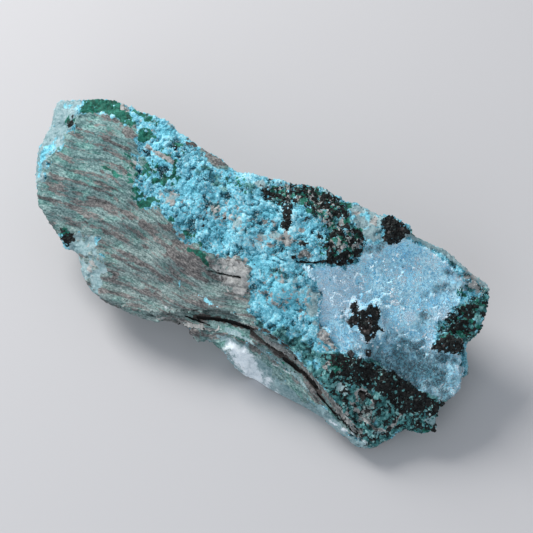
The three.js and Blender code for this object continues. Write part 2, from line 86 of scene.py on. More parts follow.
@dataclass(frozen=True)
class PhotoView:
    """The view that the photograph was taken from, and the way from its pixels to the rock."""

    azimuth: float = 34.0
    elevation: float = 60.0
    distance: float = 300 * MM
    target: tuple[float, float, float] = (6.33 * MM, 1.34 * MM, 14 * MM)
    picture: int = 533
    pixels_per_metre: float = 509 / (104 * MM)
    sensor: float = 36.0
    nearest: float = 10 * MM

    def axes(self) -> tuple[np.ndarray, np.ndarray, np.ndarray]:
        """Give the view's directions.

        Returns:
            Unit vectors to the right, up and towards the eye.
        """
        a, e = math.radians(self.azimuth), math.radians(self.elevation)
        right = np.array([math.cos(a), math.sin(a), 0.0])
        up = np.array([-math.sin(a) * math.sin(e), math.cos(a) * math.sin(e), math.cos(e)])
        back = np.array([math.sin(a) * math.cos(e), -math.cos(a) * math.cos(e), math.sin(e)])
        return right, up, back

    def to_pixels(self, points: np.ndarray) -> np.ndarray:
        """Project points.

        Args:
            points: Places in metres, one a row.

        Returns:
            The photograph's pixel of each point.
        """
        right, up, back = self.axes()
        away = points - np.array(self.target)
        scale = self.pixels_per_metre / (1 - away @ back / self.distance)
        centre = self.picture / 2
        return np.stack([centre + away @ right * scale, centre - away @ up * scale], axis=1)

    def from_pixel(self, pixel: Pixel, height: float) -> np.ndarray:
        """Find the point at a height that a pixel shows.

        Args:
            pixel: A pixel of the photograph.
            height: The point's height in metres.

        Returns:
            The point in metres.
        """
        right, up, back = self.axes()
        across = (pixel[0] - self.picture / 2) / self.pixels_per_metre
        rise = (self.picture / 2 - pixel[1]) / self.pixels_per_metre
        eye = np.array(self.target) + back * self.distance
        ray = np.array(self.target) + right * across + up * rise - eye
        return eye + ray * (height - eye[2]) / ray[2]

    def ray(self, pixel: Pixel) -> tuple[Vector, Vector]:
        """Give the eye and the direction in which it sees a pixel."""
        eye = np.array(self.target) + self.axes()[2] * self.distance
        return Vector(eye), (Vector(self.from_pixel(pixel, 0.0)) - Vector(eye)).normalized()

    def make_camera(self) -> None:
        """Add the camera at the photograph's viewpoint."""
        right, up, back = (Vector(axis) for axis in self.axes())
        data = bpy.data.cameras.new("photo_camera")
        data.sensor_width = self.sensor
        data.lens = self.pixels_per_metre * self.distance / self.picture * self.sensor
        data.clip_start = self.nearest
        camera = bpy.data.objects.new("photo_camera", data)
        turned = Matrix((right, up, back)).transposed().to_4x4()
        place = Vector(self.target) + back * self.distance
        camera.matrix_world = Matrix.Translation(place) @ turned
        bpy.context.collection.objects.link(camera)
        bpy.context.scene.camera = camera


VIEW = PhotoView()


class Shape:
    """A shape on the photograph with a distance to its edge."""

    def depth(self, pixels: np.ndarray) -> np.ndarray:
        """Give the pixels from each point to the shape's edge, positive inside."""
        raise NotImplementedError


def distance_to_stretch(pixels: np.ndarray, start: Pixel, end: Pixel) -> np.ndarray:
    """Measure the distance to a straight stretch.

    Args:
        pixels: Points, one a row.
        start: One end of the stretch.
        end: Its other end.

    Returns:
        Each point's distance in pixels.
    """
    a, along = np.array(start), np.subtract(end, start)
    t = np.clip((pixels - a) @ along / (along @ along), 0, 1)
    return np.linalg.norm(pixels - a - t[:, None] * along, axis=1)


@dataclass(frozen=True)
class Area(Shape):
    """A region with an outline of straight stretches."""

    outline: tuple[Pixel, ...]

    def depth(self, pixels: np.ndarray) -> np.ndarray:
        """Give the pixels from each point to the outline.

        Args:
            pixels: Points on the photograph, one a row.

        Returns:
            The distances, positive inside.
        """
        inside = np.zeros(len(pixels), bool)
        nearest = np.full(len(pixels), np.inf)
        for a, b in zip(self.outline, self.outline[1:] + self.outline[:1]):
            nearest = np.minimum(nearest, distance_to_stretch(pixels, a, b))
            if a[1] != b[1]:
                crosses = (a[1] > pixels[:, 1]) != (b[1] > pixels[:, 1])
                edge = (b[0] - a[0]) * (pixels[:, 1] - a[1]) / (b[1] - a[1]) + a[0]
                inside ^= crosses & (pixels[:, 0] < edge)
        return np.where(inside, nearest, -nearest)


@dataclass(frozen=True)
class Spot(Shape):
    """An oval patch: its middle, half length, half width and turn in degrees."""

    middle: Pixel
    length: float
    width: float
    turn: float = 0.0

    def depth(self, pixels: np.ndarray) -> np.ndarray:
        """Give the pixels from each point to the oval's edge.

        Args:
            pixels: Points on the photograph, one a row.

        Returns:
            The distances, positive inside.
        """
        c, s = math.cos(math.radians(self.turn)), math.sin(math.radians(self.turn))
        away = pixels - np.array(self.middle)
        along = (away[:, 0] * c + away[:, 1] * s) / self.length
        across = (away[:, 1] * c - away[:, 0] * s) / self.width
        return (1 - np.hypot(along, across)) * min(self.length, self.width)


@dataclass(frozen=True)
class Seam(Shape):
    """A line of some width."""

    path: tuple[Pixel, ...]
    half: float

    def depth(self, pixels: np.ndarray) -> np.ndarray:
        """Give the pixels from each point to the seam's edge, positive inside."""
        gaps = [distance_to_stretch(pixels, a, b) for a, b in zip(self.path, self.path[1:])]
        return self.half - np.min(gaps, axis=0)


# The density where there is none of a mineral
NONE = -1.5


@dataclass(frozen=True)
class Patch:
    """A place where a mineral shows: its shape, how softly it ends and how much of it is covered."""

    shape: Shape
    feather: float
    cover: float

    def density(self, pixels: np.ndarray) -> np.ndarray:
        """Give the density at each pixel.

        Args:
            pixels: Points on the photograph, one a row.

        Returns:
            A value below -1 for none, 0 for half covered and 1 for all covered.
        """
        inside = np.clip(self.shape.depth(pixels) / self.feather * 0.5 + 0.5, 0, 1)
        return NONE + (self.cover - NONE) * inside


# Outlines on the photograph, in pixels
HOLLOW = Area((
    (304, 266), (318, 266), (330, 265), (345, 269), (358, 261), (365, 245), (382, 242), (400, 238),
    (412, 240), (428, 249), (443, 258), (454, 269), (464, 281), (467, 289), (463, 295), (462, 303),
    (452, 310), (452, 318), (440, 322), (436, 335), (433, 348), (450, 352), (459, 355), (464, 370),
    (463, 388), (450, 402), (440, 402), (430, 396), (415, 388), (402, 379), (385, 369), (372, 361),
    (362, 358), (345, 355), (338, 350), (332, 340), (326, 330), (318, 318), (319, 305), (322, 295),
    (316, 285), (310, 276),
))
BANDED_FACE = Area((
    (80, 113), (92, 114), (110, 116), (125, 123), (133, 125), (137, 133), (135, 142), (138, 150),
    (138, 160), (135, 172), (133, 178), (138, 190), (135, 200), (142, 208), (158, 210), (165, 217),
    (172, 226), (177, 234), (185, 238), (195, 245), (202, 252), (208, 257), (225, 256), (248, 262),
    (250, 276), (246, 300), (252, 320), (268, 336), (250, 331), (225, 322), (200, 326), (150, 326),
    (104, 312), (98, 290), (108, 264), (98, 250), (96, 236), (78, 232), (64, 236), (28, 216), (26, 190),
    (44, 176), (50, 158), (62, 145), (66, 136), (74, 130), (78, 115),
))
RIGHT_TIP = Area(((436, 326), (470, 296), (496, 292), (494, 332), (470, 344), (440, 342)))
DARK_STRIP = Area((
    (332, 358), (345, 357), (357, 359), (370, 361), (381, 367), (392, 371), (402, 375), (415, 386),
    (430, 397), (448, 402), (444, 420), (425, 413), (412, 417), (396, 413), (386, 400), (372, 391),
    (358, 386), (346, 381), (336, 376), (328, 368),
))
GRANULAR_END = Area((
    (322, 352), (338, 350), (360, 358), (385, 368), (415, 386), (446, 402), (446, 436), (410, 440),
    (398, 434), (390, 446), (370, 450), (356, 434), (338, 410), (320, 388), (314, 374),
))
TOP_AGGREGATE = Area((
    (262, 184), (280, 180), (300, 180), (318, 186), (336, 196), (350, 206), (352, 220), (364, 232),
    (366, 248), (350, 264), (322, 262), (318, 244), (330, 232), (316, 222), (306, 212), (296, 206),
    (276, 206), (264, 198),
))
LEDGE_LINE = (
    (200, 318), (226, 322), (252, 333), (266, 342), (284, 356), (300, 369), (318, 388), (336, 411),
    (360, 437),
)

CLUSTER_OUTLINES: dict[str, Area] = {
    "black_crystals_rim": Area((
        (381, 221), (390, 215), (402, 223), (412, 232), (405, 235), (400, 242), (392, 245), (385, 244),
        (381, 238), (385, 231),
    )),
    "black_crystals_centre": Area((
        (349, 305), (356, 301), (360, 311), (367, 309), (370, 303), (377, 302), (380, 310), (379, 318),
        (378, 324), (385, 333), (377, 331), (372, 339), (366, 343), (362, 334), (356, 326), (350, 330),
        (346, 319), (353, 315),
    )),
    "black_crystals_end": Area((
        (431, 348), (437, 340), (445, 337), (462, 339), (464, 348), (460, 354), (444, 353),
    )),
}

# Where each mineral shows on the photograph, each shape followed by its feather and its cover
REGIONS: dict[Mineral, tuple[Patch, ...]] = {
    # Brightest turquoise
    Mineral.SKY: (
        Patch(Spot((278, 300), 26, 30, -10), 12, 0.5),
        Patch(Area(((262, 208), (270, 206), (277, 210), (276, 218), (268, 221), (262, 216))), 2, 0.9),
        Patch(Spot((305, 208), 14, 5, -10), 3, 0.6),
        Patch(Seam(((311, 229), (320, 222)), 2.6), 2, 0.9),
        Patch(Spot((326, 237), 7, 6), 3, 0.9),
        Patch(Seam(((293, 236), (300, 246)), 2.0), 2, 0.8),
        Patch(Spot((288, 247), 9, 4), 3, 0.6),
        Patch(Spot((323, 254), 6, 4), 3, 0.5),
        Patch(Area((
            (46, 140), (58, 134), (61, 145), (50, 160), (43, 180), (34, 186), (34, 165), (40, 148),
        )), 8, 0.3),
        Patch(Spot((70, 106), 10, 5), 5, 0.2),
        Patch(Spot((165, 132), 16, 10, 30), 6, 0.6),
        Patch(Spot((158, 145), 9, 6), 4, 0.6),
        Patch(Spot((158, 163), 10, 8), 4, 0.5),
        Patch(Spot((133, 155), 6, 3, 40), 3, 0.5),
        Patch(Spot((185, 186), 22, 12, 20), 8, 0.35),
        Patch(Spot((258, 262), 24, 12, 20), 8, 0.4),
        Patch(Spot((222, 232), 30, 14, 35), 10, 0.15),
        Patch(Area((
            (178, 285), (196, 289), (206, 292), (222, 305), (226, 310), (204, 309), (196, 299),
        )), 7, 0.17),
        Patch(Spot((163, 306), 7, 3, 35), 4, 0.1),
        Patch(Spot((220, 290), 5, 3), 3, 0.0),
        Patch(Spot((180, 284), 3, 6), 3, 0.4),
        Patch(Spot((366, 216), 12, 8, 40), 6, 0.2),
        Patch(Spot((312, 352), 10, 10), 6, -0.2),
    ),
    # Pale crusts at the left end, on the front ledge, along the rim and as stains
    Mineral.PALE: (
        Patch(Area((
            (50, 88), (82, 100), (79, 112), (76, 122), (72, 131), (63, 138), (60, 146), (54, 154),
            (47, 160), (44, 172), (41, 186), (24, 198), (20, 150), (40, 90),
        )), 6, 1.0),
        Patch(Area((
            (74, 233), (96, 236), (98, 252), (107, 262), (108, 278), (104, 312), (80, 300), (70, 262),
            (68, 244),
        )), 4, 1.6),
        Patch(Area((
            (224, 336), (246, 344), (262, 354), (276, 370), (292, 386), (310, 398), (330, 414), (358, 438),
            (372, 452), (340, 448), (300, 424), (246, 398), (224, 372),
        )), 6, 1.4),
        Patch(Area((
            (348, 198), (368, 208), (384, 220), (382, 240), (366, 241), (352, 226), (347, 208),
        )), 4, 0.7),
        Patch(Seam(((312, 186), (332, 193), (352, 200), (372, 210), (384, 218)), 2.6), 3, 0.6),
        Patch(Seam(((408, 235), (430, 244), (446, 252), (460, 262), (474, 275), (490, 286)), 4.5), 3, 0.9),
        Patch(Spot((276, 238), 18, 9, 10), 6, 0.2),
        Patch(Spot((262, 184), 9, 4, 25), 4, 0.3),
        Patch(Spot((234, 222), 22, 12, 30), 9, -0.2),
        Patch(Spot((170, 196), 14, 9, 20), 6, 0.1),
        Patch(Spot((166, 128), 18, 12, 25), 8, -0.1),
        Patch(Spot((347, 241), 9, 7), 4, 0.5),
        Patch(Spot((336, 206), 6, 4), 3, 0.5),
        Patch(Area(((192, 326), (212, 330), (236, 336), (240, 372), (214, 362), (190, 346))), 5, 1.1),
        Patch(Spot((430, 421), 10, 6, 15), 4, 0.7),
        Patch(Spot((343, 389), 9, 6, 35), 3, 0.6),
        Patch(Spot((378, 433), 10, 5, -10), 3, 0.5),
        Patch(Spot((312, 300), 10, 24, -8), 8, 0.25),
        Patch(Spot((284, 294), 24, 20), 8, 0.08),
    ),
    # White powder on the front ledge
    Mineral.CHALK: (
        Patch(Area((
            (230, 341), (241, 345), (252, 355), (261, 367), (270, 381), (276, 392), (262, 390), (246, 380),
            (234, 368), (224, 350),
        )), 10, 1.15),
        Patch(Seam(((269, 362), (282, 369), (297, 378)), 0.8), 1.2, 0.7),
        Patch(Seam(((224, 331), (234, 334), (248, 340)), 1.0), 1.5, 0.5),
        Patch(Seam(((330, 421), (350, 433), (372, 446)), 1.4), 2, 0.7),
        Patch(Spot((166, 308), 3, 2), 2, 0.4),
    ),
    # Banded rock of the broken face and the ledges
    Mineral.BANDED: (
        Patch(BANDED_FACE, 7, 1.7),
        Patch(Area((
            (226, 333), (244, 336), (262, 346), (284, 362), (300, 376), (316, 392), (330, 410), (306, 400),
            (284, 386), (266, 368), (254, 352), (240, 342),
        )), 8, 1.2),
        Patch(Area((
            (100, 300), (160, 308), (200, 310), (236, 318), (262, 332), (284, 346), (304, 364), (320, 386),
            (340, 411), (361, 438), (348, 434), (326, 408), (300, 382), (272, 356), (250, 342), (226, 336),
            (196, 330), (150, 326),
        )), 3, 1.7),
        Patch(Area(((355, 399), (374, 402), (378, 420), (368, 424), (358, 412))), 4, 0.6),
        Patch(Area(((100, 312), (196, 324), (212, 330), (204, 344), (150, 340), (100, 326))), 4, 0.9),
        Patch(Spot((140, 162), 12, 6, 40), 5, 0.1),
        Patch(Spot((376, 414), 8, 12, -20), 5, -0.2),
        Patch(Spot((214, 159), 14, 6, 35), 3, 1.2),
        Patch(Area((
            (76, 236), (96, 236), (98, 252), (107, 262), (108, 280), (104, 306), (84, 296), (72, 262),
        )), 5, -0.4),
        Patch(Area(((192, 328), (212, 331), (232, 338), (236, 352), (214, 356), (194, 342))), 5, 0.5),
    ),
    # Grey-brown streaks along the bands
    Mineral.STREAK: (
        Patch(Seam(((84, 119), (97, 125)), 1.8), 2, 0.7),
        Patch(Seam(((104, 116), (120, 122), (130, 130)), 3.6), 3, 0.6),
        Patch(Spot((129, 134), 8, 6, 30), 4, 0.8),
        Patch(Seam(((76, 128), (92, 133), (105, 138)), 1.3), 1.5, 0.8),
        Patch(Seam(((104, 139), (120, 146), (130, 150)), 2.3), 2, 0.7),
        Patch(Seam(((103, 149), (112, 153), (122, 159)), 1.2), 1.5, 0.7),
        Patch(Seam(((90, 161), (101, 165)), 1.3), 2, 0.5),
        Patch(Seam(((111, 163), (120, 167), (126, 172)), 2.2), 2, 0.7),
        Patch(Seam(((50, 173), (62, 178), (78, 182), (92, 187), (105, 192), (118, 200)), 1.5), 1.5, 0.8),
        Patch(Seam(((50, 188), (64, 190), (80, 194), (94, 200)), 2.0), 2, 0.7),
        Patch(Seam(((94, 200), (108, 206), (120, 212), (130, 217)), 4.2), 3, 0.9),
        Patch(Seam(((46, 198), (58, 201), (70, 205), (80, 212), (88, 218)), 1.8), 2, 0.8),
        Patch(Seam(((100, 170), (112, 178), (122, 187)), 1.5), 2, 0.6),
        Patch(Seam(((85, 222), (96, 228)), 1.6), 2, 0.6),
        Patch(Seam(((143, 223), (154, 229), (167, 227)), 4.6), 3, 0.9),
        Patch(Seam(((104, 232), (116, 235), (126, 241)), 2.4), 2, 0.5),
        Patch(Seam(((118, 250), (129, 254)), 2.0), 2, 0.6),
        Patch(Seam(((106, 252), (122, 259), (136, 262), (150, 267)), 1.9), 2, 0.9),
        Patch(Seam(((140, 243), (147, 248)), 2.0), 2, 0.6),
        Patch(Area((
            (163, 246), (176, 238), (190, 240), (200, 250), (208, 270), (200, 278), (180, 268), (164, 256),
        )), 5, 0.5),
        Patch(Seam(((181, 271), (195, 276), (207, 281)), 2.6), 2, 0.5),
        Patch(Seam(((208, 274), (224, 277), (242, 281)), 2.6), 2, 0.6),
        Patch(Spot((231, 263), 13, 5, 8), 3, 0.9),
        Patch(Spot((115, 275), 5, 6), 3, 0.4),
        Patch(Spot((148, 292), 10, 4, 15), 3, 0.4),
        Patch(Spot((168, 278), 9, 3, 10), 3, 0.4),
        Patch(Seam(((252, 336), (266, 344), (280, 356)), 2.4), 2, 0.8),
        Patch(Seam(((318, 392), (336, 413), (352, 430)), 2.2), 2, 0.5),
        Patch(Spot((213, 159), 12, 5, 35), 4, 0.8),
    ),
    # Green crusts at the upper edge, along the turquoise and in the dark aggregates
    Mineral.MALACHITE: (
        Patch(Area((
            (79, 112), (83, 100), (90, 92), (104, 92), (118, 98), (124, 110), (132, 116), (136, 123),
            (130, 128), (122, 124), (112, 116), (102, 112), (88, 114),
        )), 3, 0.9),
        Patch(Spot((146, 117), 14, 5, 25), 5, 0.6),
        Patch(Spot((146, 135), 9, 7, 20), 6, 0.9),
        Patch(Spot((176, 146), 10, 5, 40), 5, 0.5),
        Patch(Seam(((162, 151), (174, 164), (176, 178)), 3.6), 5, 0.6),
        Patch(Spot((150, 169), 7, 10), 5, 0.6),
        Patch(Spot((166, 181), 12, 6, 20), 5, 0.1),
        Patch(Spot((141, 176), 7, 4, 40), 3, 0.3),
        Patch(Spot((155, 181), 6, 4), 3, 0.4),
        Patch(Spot((136, 191), 6, 8), 4, 0.7),
        Patch(Spot((146, 203), 12, 6), 5, 0.9),
        Patch(Spot((118, 176), 7, 2.5, 35), 3, 0.4),
        Patch(Spot((105, 168), 6, 2, 15), 3, 0.2),
        Patch(Spot((133, 178), 8, 28, -10), 7, 0.1),
        Patch(Seam(((180, 228), (198, 242)), 4.0), 5, 0.6),
        Patch(Area((
            (184, 250), (190, 247), (198, 249), (208, 254), (209, 268), (203, 262), (196, 254),
        )), 2, 0.9),
        Patch(Spot((170, 218), 10, 5, 40), 5, 0.0),
        Patch(Spot((240, 184), 20, 9, 30), 8, -0.25),
        Patch(TOP_AGGREGATE, 6, 0.0),
        Patch(Spot((330, 227), 8, 5), 3, 0.7),
        Patch(Spot((346, 204), 6, 4, 40), 3, 0.5),
        Patch(Spot((277, 189), 7, 4), 3, 0.4),
        Patch(Area(((455, 293), (461, 286), (467, 297), (458, 298))), 2, 0.9),
        Patch(RIGHT_TIP, 6, -0.1),
        Patch(Seam(((404, 229), (446, 246), (458, 255), (470, 267), (492, 282)), 2.2), 3, 0.5),
        Patch(Seam(((236, 336), (256, 344), (276, 357), (294, 374), (312, 390)), 3.4), 6, -0.25),
        Patch(Spot((66, 236), 5, 9, -20), 3, 0.5),
        Patch(Spot((70, 121), 7, 8, 30), 4, 0.0),
        Patch(Spot((339, 363), 11, 7, 20), 4, 0.7),
        Patch(Spot((335, 373), 4, 4), 2, 0.8),
        Patch(Spot((428, 432), 14, 4, 10), 4, 0.2),
        Patch(Spot((205, 257), 26, 3, 20), 4, -0.2),
    ),
    # Brown faces of the ledges
    Mineral.BROWN: (
        Patch(Seam(((250, 328), (264, 331), (278, 339), (288, 347)), 2.6), 3, 0.7),
        Patch(Seam(((276, 352), (290, 362), (306, 375), (320, 391)), 3.4), 2, 0.6),
        Patch(Seam(((196, 316), (222, 320), (242, 326)), 3.4), 2, 0.5),
        Patch(Spot((190, 143), 11, 5, 45), 4, 0.5),
        Patch(Spot((363, 395), 7, 5, 40), 3, 0.8),
        Patch(Seam(((318, 394), (334, 412), (352, 430), (360, 437)), 2.6), 2, 0.2),
    ),
    # Grey-beige rock, thin edges and crumbs
    Mineral.BEIGE: (
        Patch(Spot((124, 107), 4, 6), 3, 0.8),
        Patch(Seam(((147, 146), (158, 153), (168, 158), (172, 163)), 2.8), 2.5, 0.8),
        Patch(Spot((172, 203), 4, 5), 3, 0.9),
        Patch(Spot((171, 196), 9, 3, 10), 3, 0.3),
        Patch(Spot((136, 162), 8, 3, 30), 3, 0.4),
        Patch(Spot((154, 128), 3, 4), 3, 0.4),
        Patch(Spot((270, 223), 8, 3, 15), 3, 0.6),
        Patch(Spot((305, 254), 9, 5), 3, 0.7),
        Patch(Spot((357, 242), 6, 6), 3, 0.6),
        Patch(Spot((357, 213), 4, 3), 2, 0.7),
        Patch(Spot((374, 223), 4, 6), 3, 0.8),
        Patch(Spot((301, 230), 5, 2.5), 3, 0.4),
        Patch(Area(((318, 326), (326, 322), (332, 336), (336, 348), (326, 352), (318, 344))), 5, 0.8),
        Patch(Seam((
            (350, 402), (357, 411), (366, 421), (376, 429), (386, 431), (394, 424), (401, 413),
        ), 1.8), 2, 1.0),
        Patch(Seam(((357, 400), (356, 393), (360, 389), (366, 390), (372, 398), (374, 404)), 1.6), 1.5, 1.2),
        Patch(Seam(((266, 339), (276, 345), (288, 353), (300, 363), (311, 374), (320, 386)), 1.4), 1.5, 0.9),
        Patch(Seam(((320, 386), (331, 399), (342, 412), (354, 426), (362, 436)), 1.6), 1.5, 0.8),
        Patch(Seam(((428, 400), (436, 404), (438, 410)), 1.0), 2, 0.5),
        Patch(Seam(((338, 371), (344, 376), (340, 380)), 1.0), 2, 0.5),
        Patch(Area((
            (208, 257), (236, 256), (248, 262), (250, 280), (246, 300), (232, 296), (214, 270),
        )), 8, 0.85),
        Patch(Seam(((150, 318), (172, 318), (188, 325), (205, 328)), 1.2), 1.5, 0.9),
        Patch(Spot((90, 262), 8, 26), 6, -0.3),
        Patch(Spot((474, 284), 18, 9, 40), 6, 0.2),
        Patch(Spot((327, 365), 5, 6), 3, 0.4),
        Patch(Spot((285, 238), 22, 9, 8), 6, 0.0),
        Patch(Spot((262, 242), 16, 10), 6, -0.15),
        Patch(Spot((303, 300), 12, 24), 8, -0.2),
        Patch(Spot((276, 292), 22, 28), 10, -0.28),
        Patch(Spot((224, 212), 28, 16, 30), 8, -0.3),
        Patch(TOP_AGGREGATE, 8, -0.22),
        Patch(Spot((352, 418), 30, 18, 50), 8, -0.45),
        Patch(Spot((172, 198), 14, 8, 15), 5, 0.05),
    ),
    # Black and dark green grains, and painted shadow under the ledge above the hollow
    Mineral.DARK: (
        Patch(TOP_AGGREGATE, 6, -0.42),
        Patch(Area((
            (262, 186), (270, 188), (280, 193), (292, 190), (298, 183), (308, 182), (315, 188), (306, 192),
            (299, 196), (300, 203), (294, 208), (284, 209), (276, 204), (270, 200), (262, 197),
        )), 4, 0.12),
        Patch(Seam(((270, 183), (284, 182)), 1.6), 2, 0.2),
        Patch(Spot((287, 214), 4, 10), 2, 0.8),
        Patch(Spot((287, 225), 6, 5), 2, 0.6),
        Patch(Spot((306, 219), 4, 3), 2, 0.6),
        Patch(Area((
            (312, 190), (324, 190), (338, 198), (350, 210), (350, 221), (340, 221), (326, 214), (314, 206),
        )), 4, -0.05),
        Patch(Spot((345, 216), 5, 5), 3, 0.3),
        Patch(Spot((335, 233), 5, 6), 2, 0.7),
        Patch(Spot((319, 237), 4, 4), 3, 0.2),
        Patch(Seam(((341, 227), (351, 228), (360, 233), (364, 240)), 1.8), 2, 0.6),
        Patch(Spot((330, 245), 7, 3), 2, 0.5),
        Patch(Spot((304, 244), 4, 3), 2, 0.3),
        Patch(Spot((294, 255), 3, 4), 2, 0.4),
        # Painted shadow under the ledge above the hollow, laid on as black grains
        Patch(Area((
            (320, 262), (332, 256), (345, 252), (358, 247), (364, 249), (358, 258), (350, 265), (338, 266),
        )), 2, 0.45),
        Patch(DARK_STRIP, 4, 0.52),
        Patch(GRANULAR_END, 6, -0.52),
        Patch(Seam((
            (334, 357), (348, 359), (360, 361), (372, 365), (386, 372), (404, 382), (420, 393), (438, 405),
        ), 2.4), 2.5, 0.8),
        Patch(Area((
            (446, 316), (466, 303), (484, 300), (482, 316), (468, 324), (456, 336), (440, 334),
        )), 4, 0.3),
        Patch(RIGHT_TIP, 6, -0.3),
        Patch(Spot((70, 121), 7, 7), 3, -0.35),
        Patch(Area(((60, 227), (66, 231), (73, 234), (75, 241), (68, 246), (60, 240))), 2, 0.7),
        Patch(Spot((194, 170), 1.6, 1.6), 1.5, 0.9),
        Patch(Spot((176, 148), 4, 2.5), 2, 0.5),
        Patch(Seam(((140, 144), (145, 152)), 1.0), 1.5, 0.6),
        Patch(Seam(((193, 217), (193, 223)), 1.0), 1.5, 0.6),
        Patch(Seam(((203, 219), (203, 226)), 0.9), 1.5, 0.5),
        Patch(Spot((224, 219), 1.6, 3), 1.5, 0.6),
        *(Patch(outline, 2, 0.85) for outline in CLUSTER_OUTLINES.values()),
        Patch(Spot((345, 400), 4, 5), 3, 0.7),
        Patch(Spot((346, 376), 6, 4), 3, 0.6),
        Patch(Spot((418, 423), 3, 3), 1.5, 1.0),
        Patch(Spot((427, 428), 2.5, 2.5), 1.5, 1.0),
        Patch(Spot((434, 431), 2.5, 3), 1.5, 1.0),
        Patch(Spot((435, 411), 6, 5), 3, 0.7),
        Patch(Spot((387, 434), 1.6, 2.5), 1.5, 0.9),
        Patch(Spot((214, 354), 14, 6, 30), 4, 0.3),
    ),
    # Deep teal, in the turquoise and under the crystals, and painted shade over the crystal crust's lower
    # right
    Mineral.DEEP_AND_SHADE: (
        Patch(Area((
            (258, 326), (290, 330), (312, 340), (330, 366), (318, 386), (300, 362), (276, 342),
        )), 12, 0.6),
        Patch(GRANULAR_END, 5, 1.0),
        Patch(TOP_AGGREGATE, 8, 0.0),
        Patch(Spot((70, 121), 8, 8, 30), 4, 0.2),
        Patch(Spot((438, 288), 17, 6, -12), 6, 0.2),
        Patch(Spot((448, 273), 7, 6), 5, 0.2),
        Patch(Spot((472, 287), 9, 7), 4, 0.5),
        Patch(Spot((423, 318), 5, 12, 15), 6, -0.1),
        Patch(Spot((404, 300), 3, 9, 20), 6, -0.1),
        Patch(Spot((345, 314), 7, 9), 4, 0.5),
        Patch(Spot((378, 276), 9, 3, -30), 5, -0.1),
        Patch(Spot((372, 248), 16, 4, -10), 4, 0.6),
        Patch(Spot((354, 262), 6, 4), 3, 0.6),
        # Painted shade over the crystal crust's lower right
        Patch(Area((
            (358, 350), (400, 342), (430, 350), (456, 360), (458, 390), (444, 404), (410, 388), (368, 364),
        )), 22, 1.3),
        Patch(Area(((436, 326), (470, 296), (496, 288), (494, 332), (470, 344), (440, 342))), 6, 0.6),
        Patch(Seam(((404, 232), (446, 248), (470, 268), (492, 284)), 3.8), 4, 0.8),
        Patch(Area((
            (440, 246), (456, 254), (470, 268), (490, 280), (494, 298), (476, 292), (464, 280), (450, 262),
        )), 5, 0.4),
        Patch(Spot((210, 176), 22, 9, 40), 8, -0.1),
        Patch(Spot((220, 212), 18, 9, 30), 8, -0.2),
        Patch(Spot((250, 188), 18, 8, 30), 6, 0.2),
        Patch(Spot((148, 118), 14, 6, 25), 4, 0.4),
        Patch(Seam(((248, 292), (252, 316), (268, 332)), 4), 5, 0.3),
        Patch(Spot((280, 272), 22, 4, 20), 5, 0.2),
    ),
    # Crystal crust
    Mineral.ICE: (
        Patch(HOLLOW, 4, 1.0),
    ),
    # Whiter crystals
    Mineral.FROST: (
        Patch(Spot((411, 317), 7, 6), 3, 0.8),
        Patch(Spot((440, 315), 12, 8), 5, 0.6),
        Patch(Spot((430, 342), 5, 9), 4, 0.7),
        Patch(Spot((336, 292), 27, 27, -15), 14, 1.0),
        Patch(Spot((385, 321), 5, 6), 3, 0.5),
        Patch(Spot((362, 340), 10, 5), 4, 0.3),
        Patch(Spot((456, 364), 4, 18), 4, 0.3),
        Patch(Spot((328, 346), 6, 8), 4, 0.6),
        Patch(Spot((392, 343), 12, 5), 5, 0.0),
    ),
    # Painted shadow in the gaps between the ledges' layers and in cracks, which the relief also cuts in as
    # grooves
    Mineral.GAP_SHADE: (
        Patch(Seam(((198, 317), (212, 318), (226, 320), (240, 324), (252, 329)), 2.0), 1.5, 1.0),
        Patch(Seam(((146, 315), (158, 316), (170, 314), (180, 317)), 0.7), 1.2, 0.7),
        Patch(Seam(((186, 316), (198, 320), (209, 325)), 1.3), 1.2, 0.7),
        Patch(Seam(((256, 338), (264, 343), (273, 350), (284, 359)), 0.9), 1.2, 0.4),
        Patch(Seam(((284, 359), (294, 366), (304, 374), (312, 382), (318, 388)), 2.0), 1.5, 1.0),
        Patch(Seam(((317, 393), (326, 403), (336, 415)), 1.2), 1.2, 0.9),
        Patch(Seam(((336, 415), (346, 425), (357, 433)), 1.8), 1.5, 1.0),
        Patch(Seam(((208, 271), (222, 274), (240, 278)), 0.9), 1.2, 0.9),
        Patch(Seam(((181, 237), (184, 246)), 0.6), 1.2, 0.4),
        Patch(Seam(((297, 262), (318, 263), (338, 263), (349, 265)), 1.3), 1.5, 0.9),
        Patch(Seam(((361, 391), (369, 398)), 1.4), 1.5, 0.9),
        Patch(Seam(((344, 398), (349, 407)), 1.2), 1.5, 0.8),
        Patch(Seam(((375, 398), (387, 409)), 0.6), 1.2, 0.5),
        Patch(Seam(((275, 345), (284, 351), (292, 358)), 0.5), 1.0, 0.4),
    ),
}


@dataclass(frozen=True)
class Edge:
    """How a mineral's patches end: how uneven, at what size in millimetres and how softly they blend."""

    rough: float
    size: float
    blend: float = 0.07


EDGES: dict[Mineral, Edge] = {
    Mineral.SKY: Edge(0.45, 0.9, 0.15),
    Mineral.PALE: Edge(0.9, 1.2, 0.25),
    Mineral.CHALK: Edge(0.8, 1.2, 0.60),
    Mineral.BANDED: Edge(1.1, 1.2),
    Mineral.STREAK: Edge(0.7, 0.8),
    Mineral.MALACHITE: Edge(1.1, 0.8),
    Mineral.BROWN: Edge(0.8, 0.8),
    Mineral.BEIGE: Edge(1.0, 0.7, 0.12),
    Mineral.DARK: Edge(0.8, 0.8),
    Mineral.DEEP_AND_SHADE: Edge(1.0, 1.6, 0.30),
    Mineral.ICE: Edge(0.9, 0.9),
    Mineral.FROST: Edge(0.9, 1.0),
    Mineral.GAP_SHADE: Edge(0.3, 1.0),
}


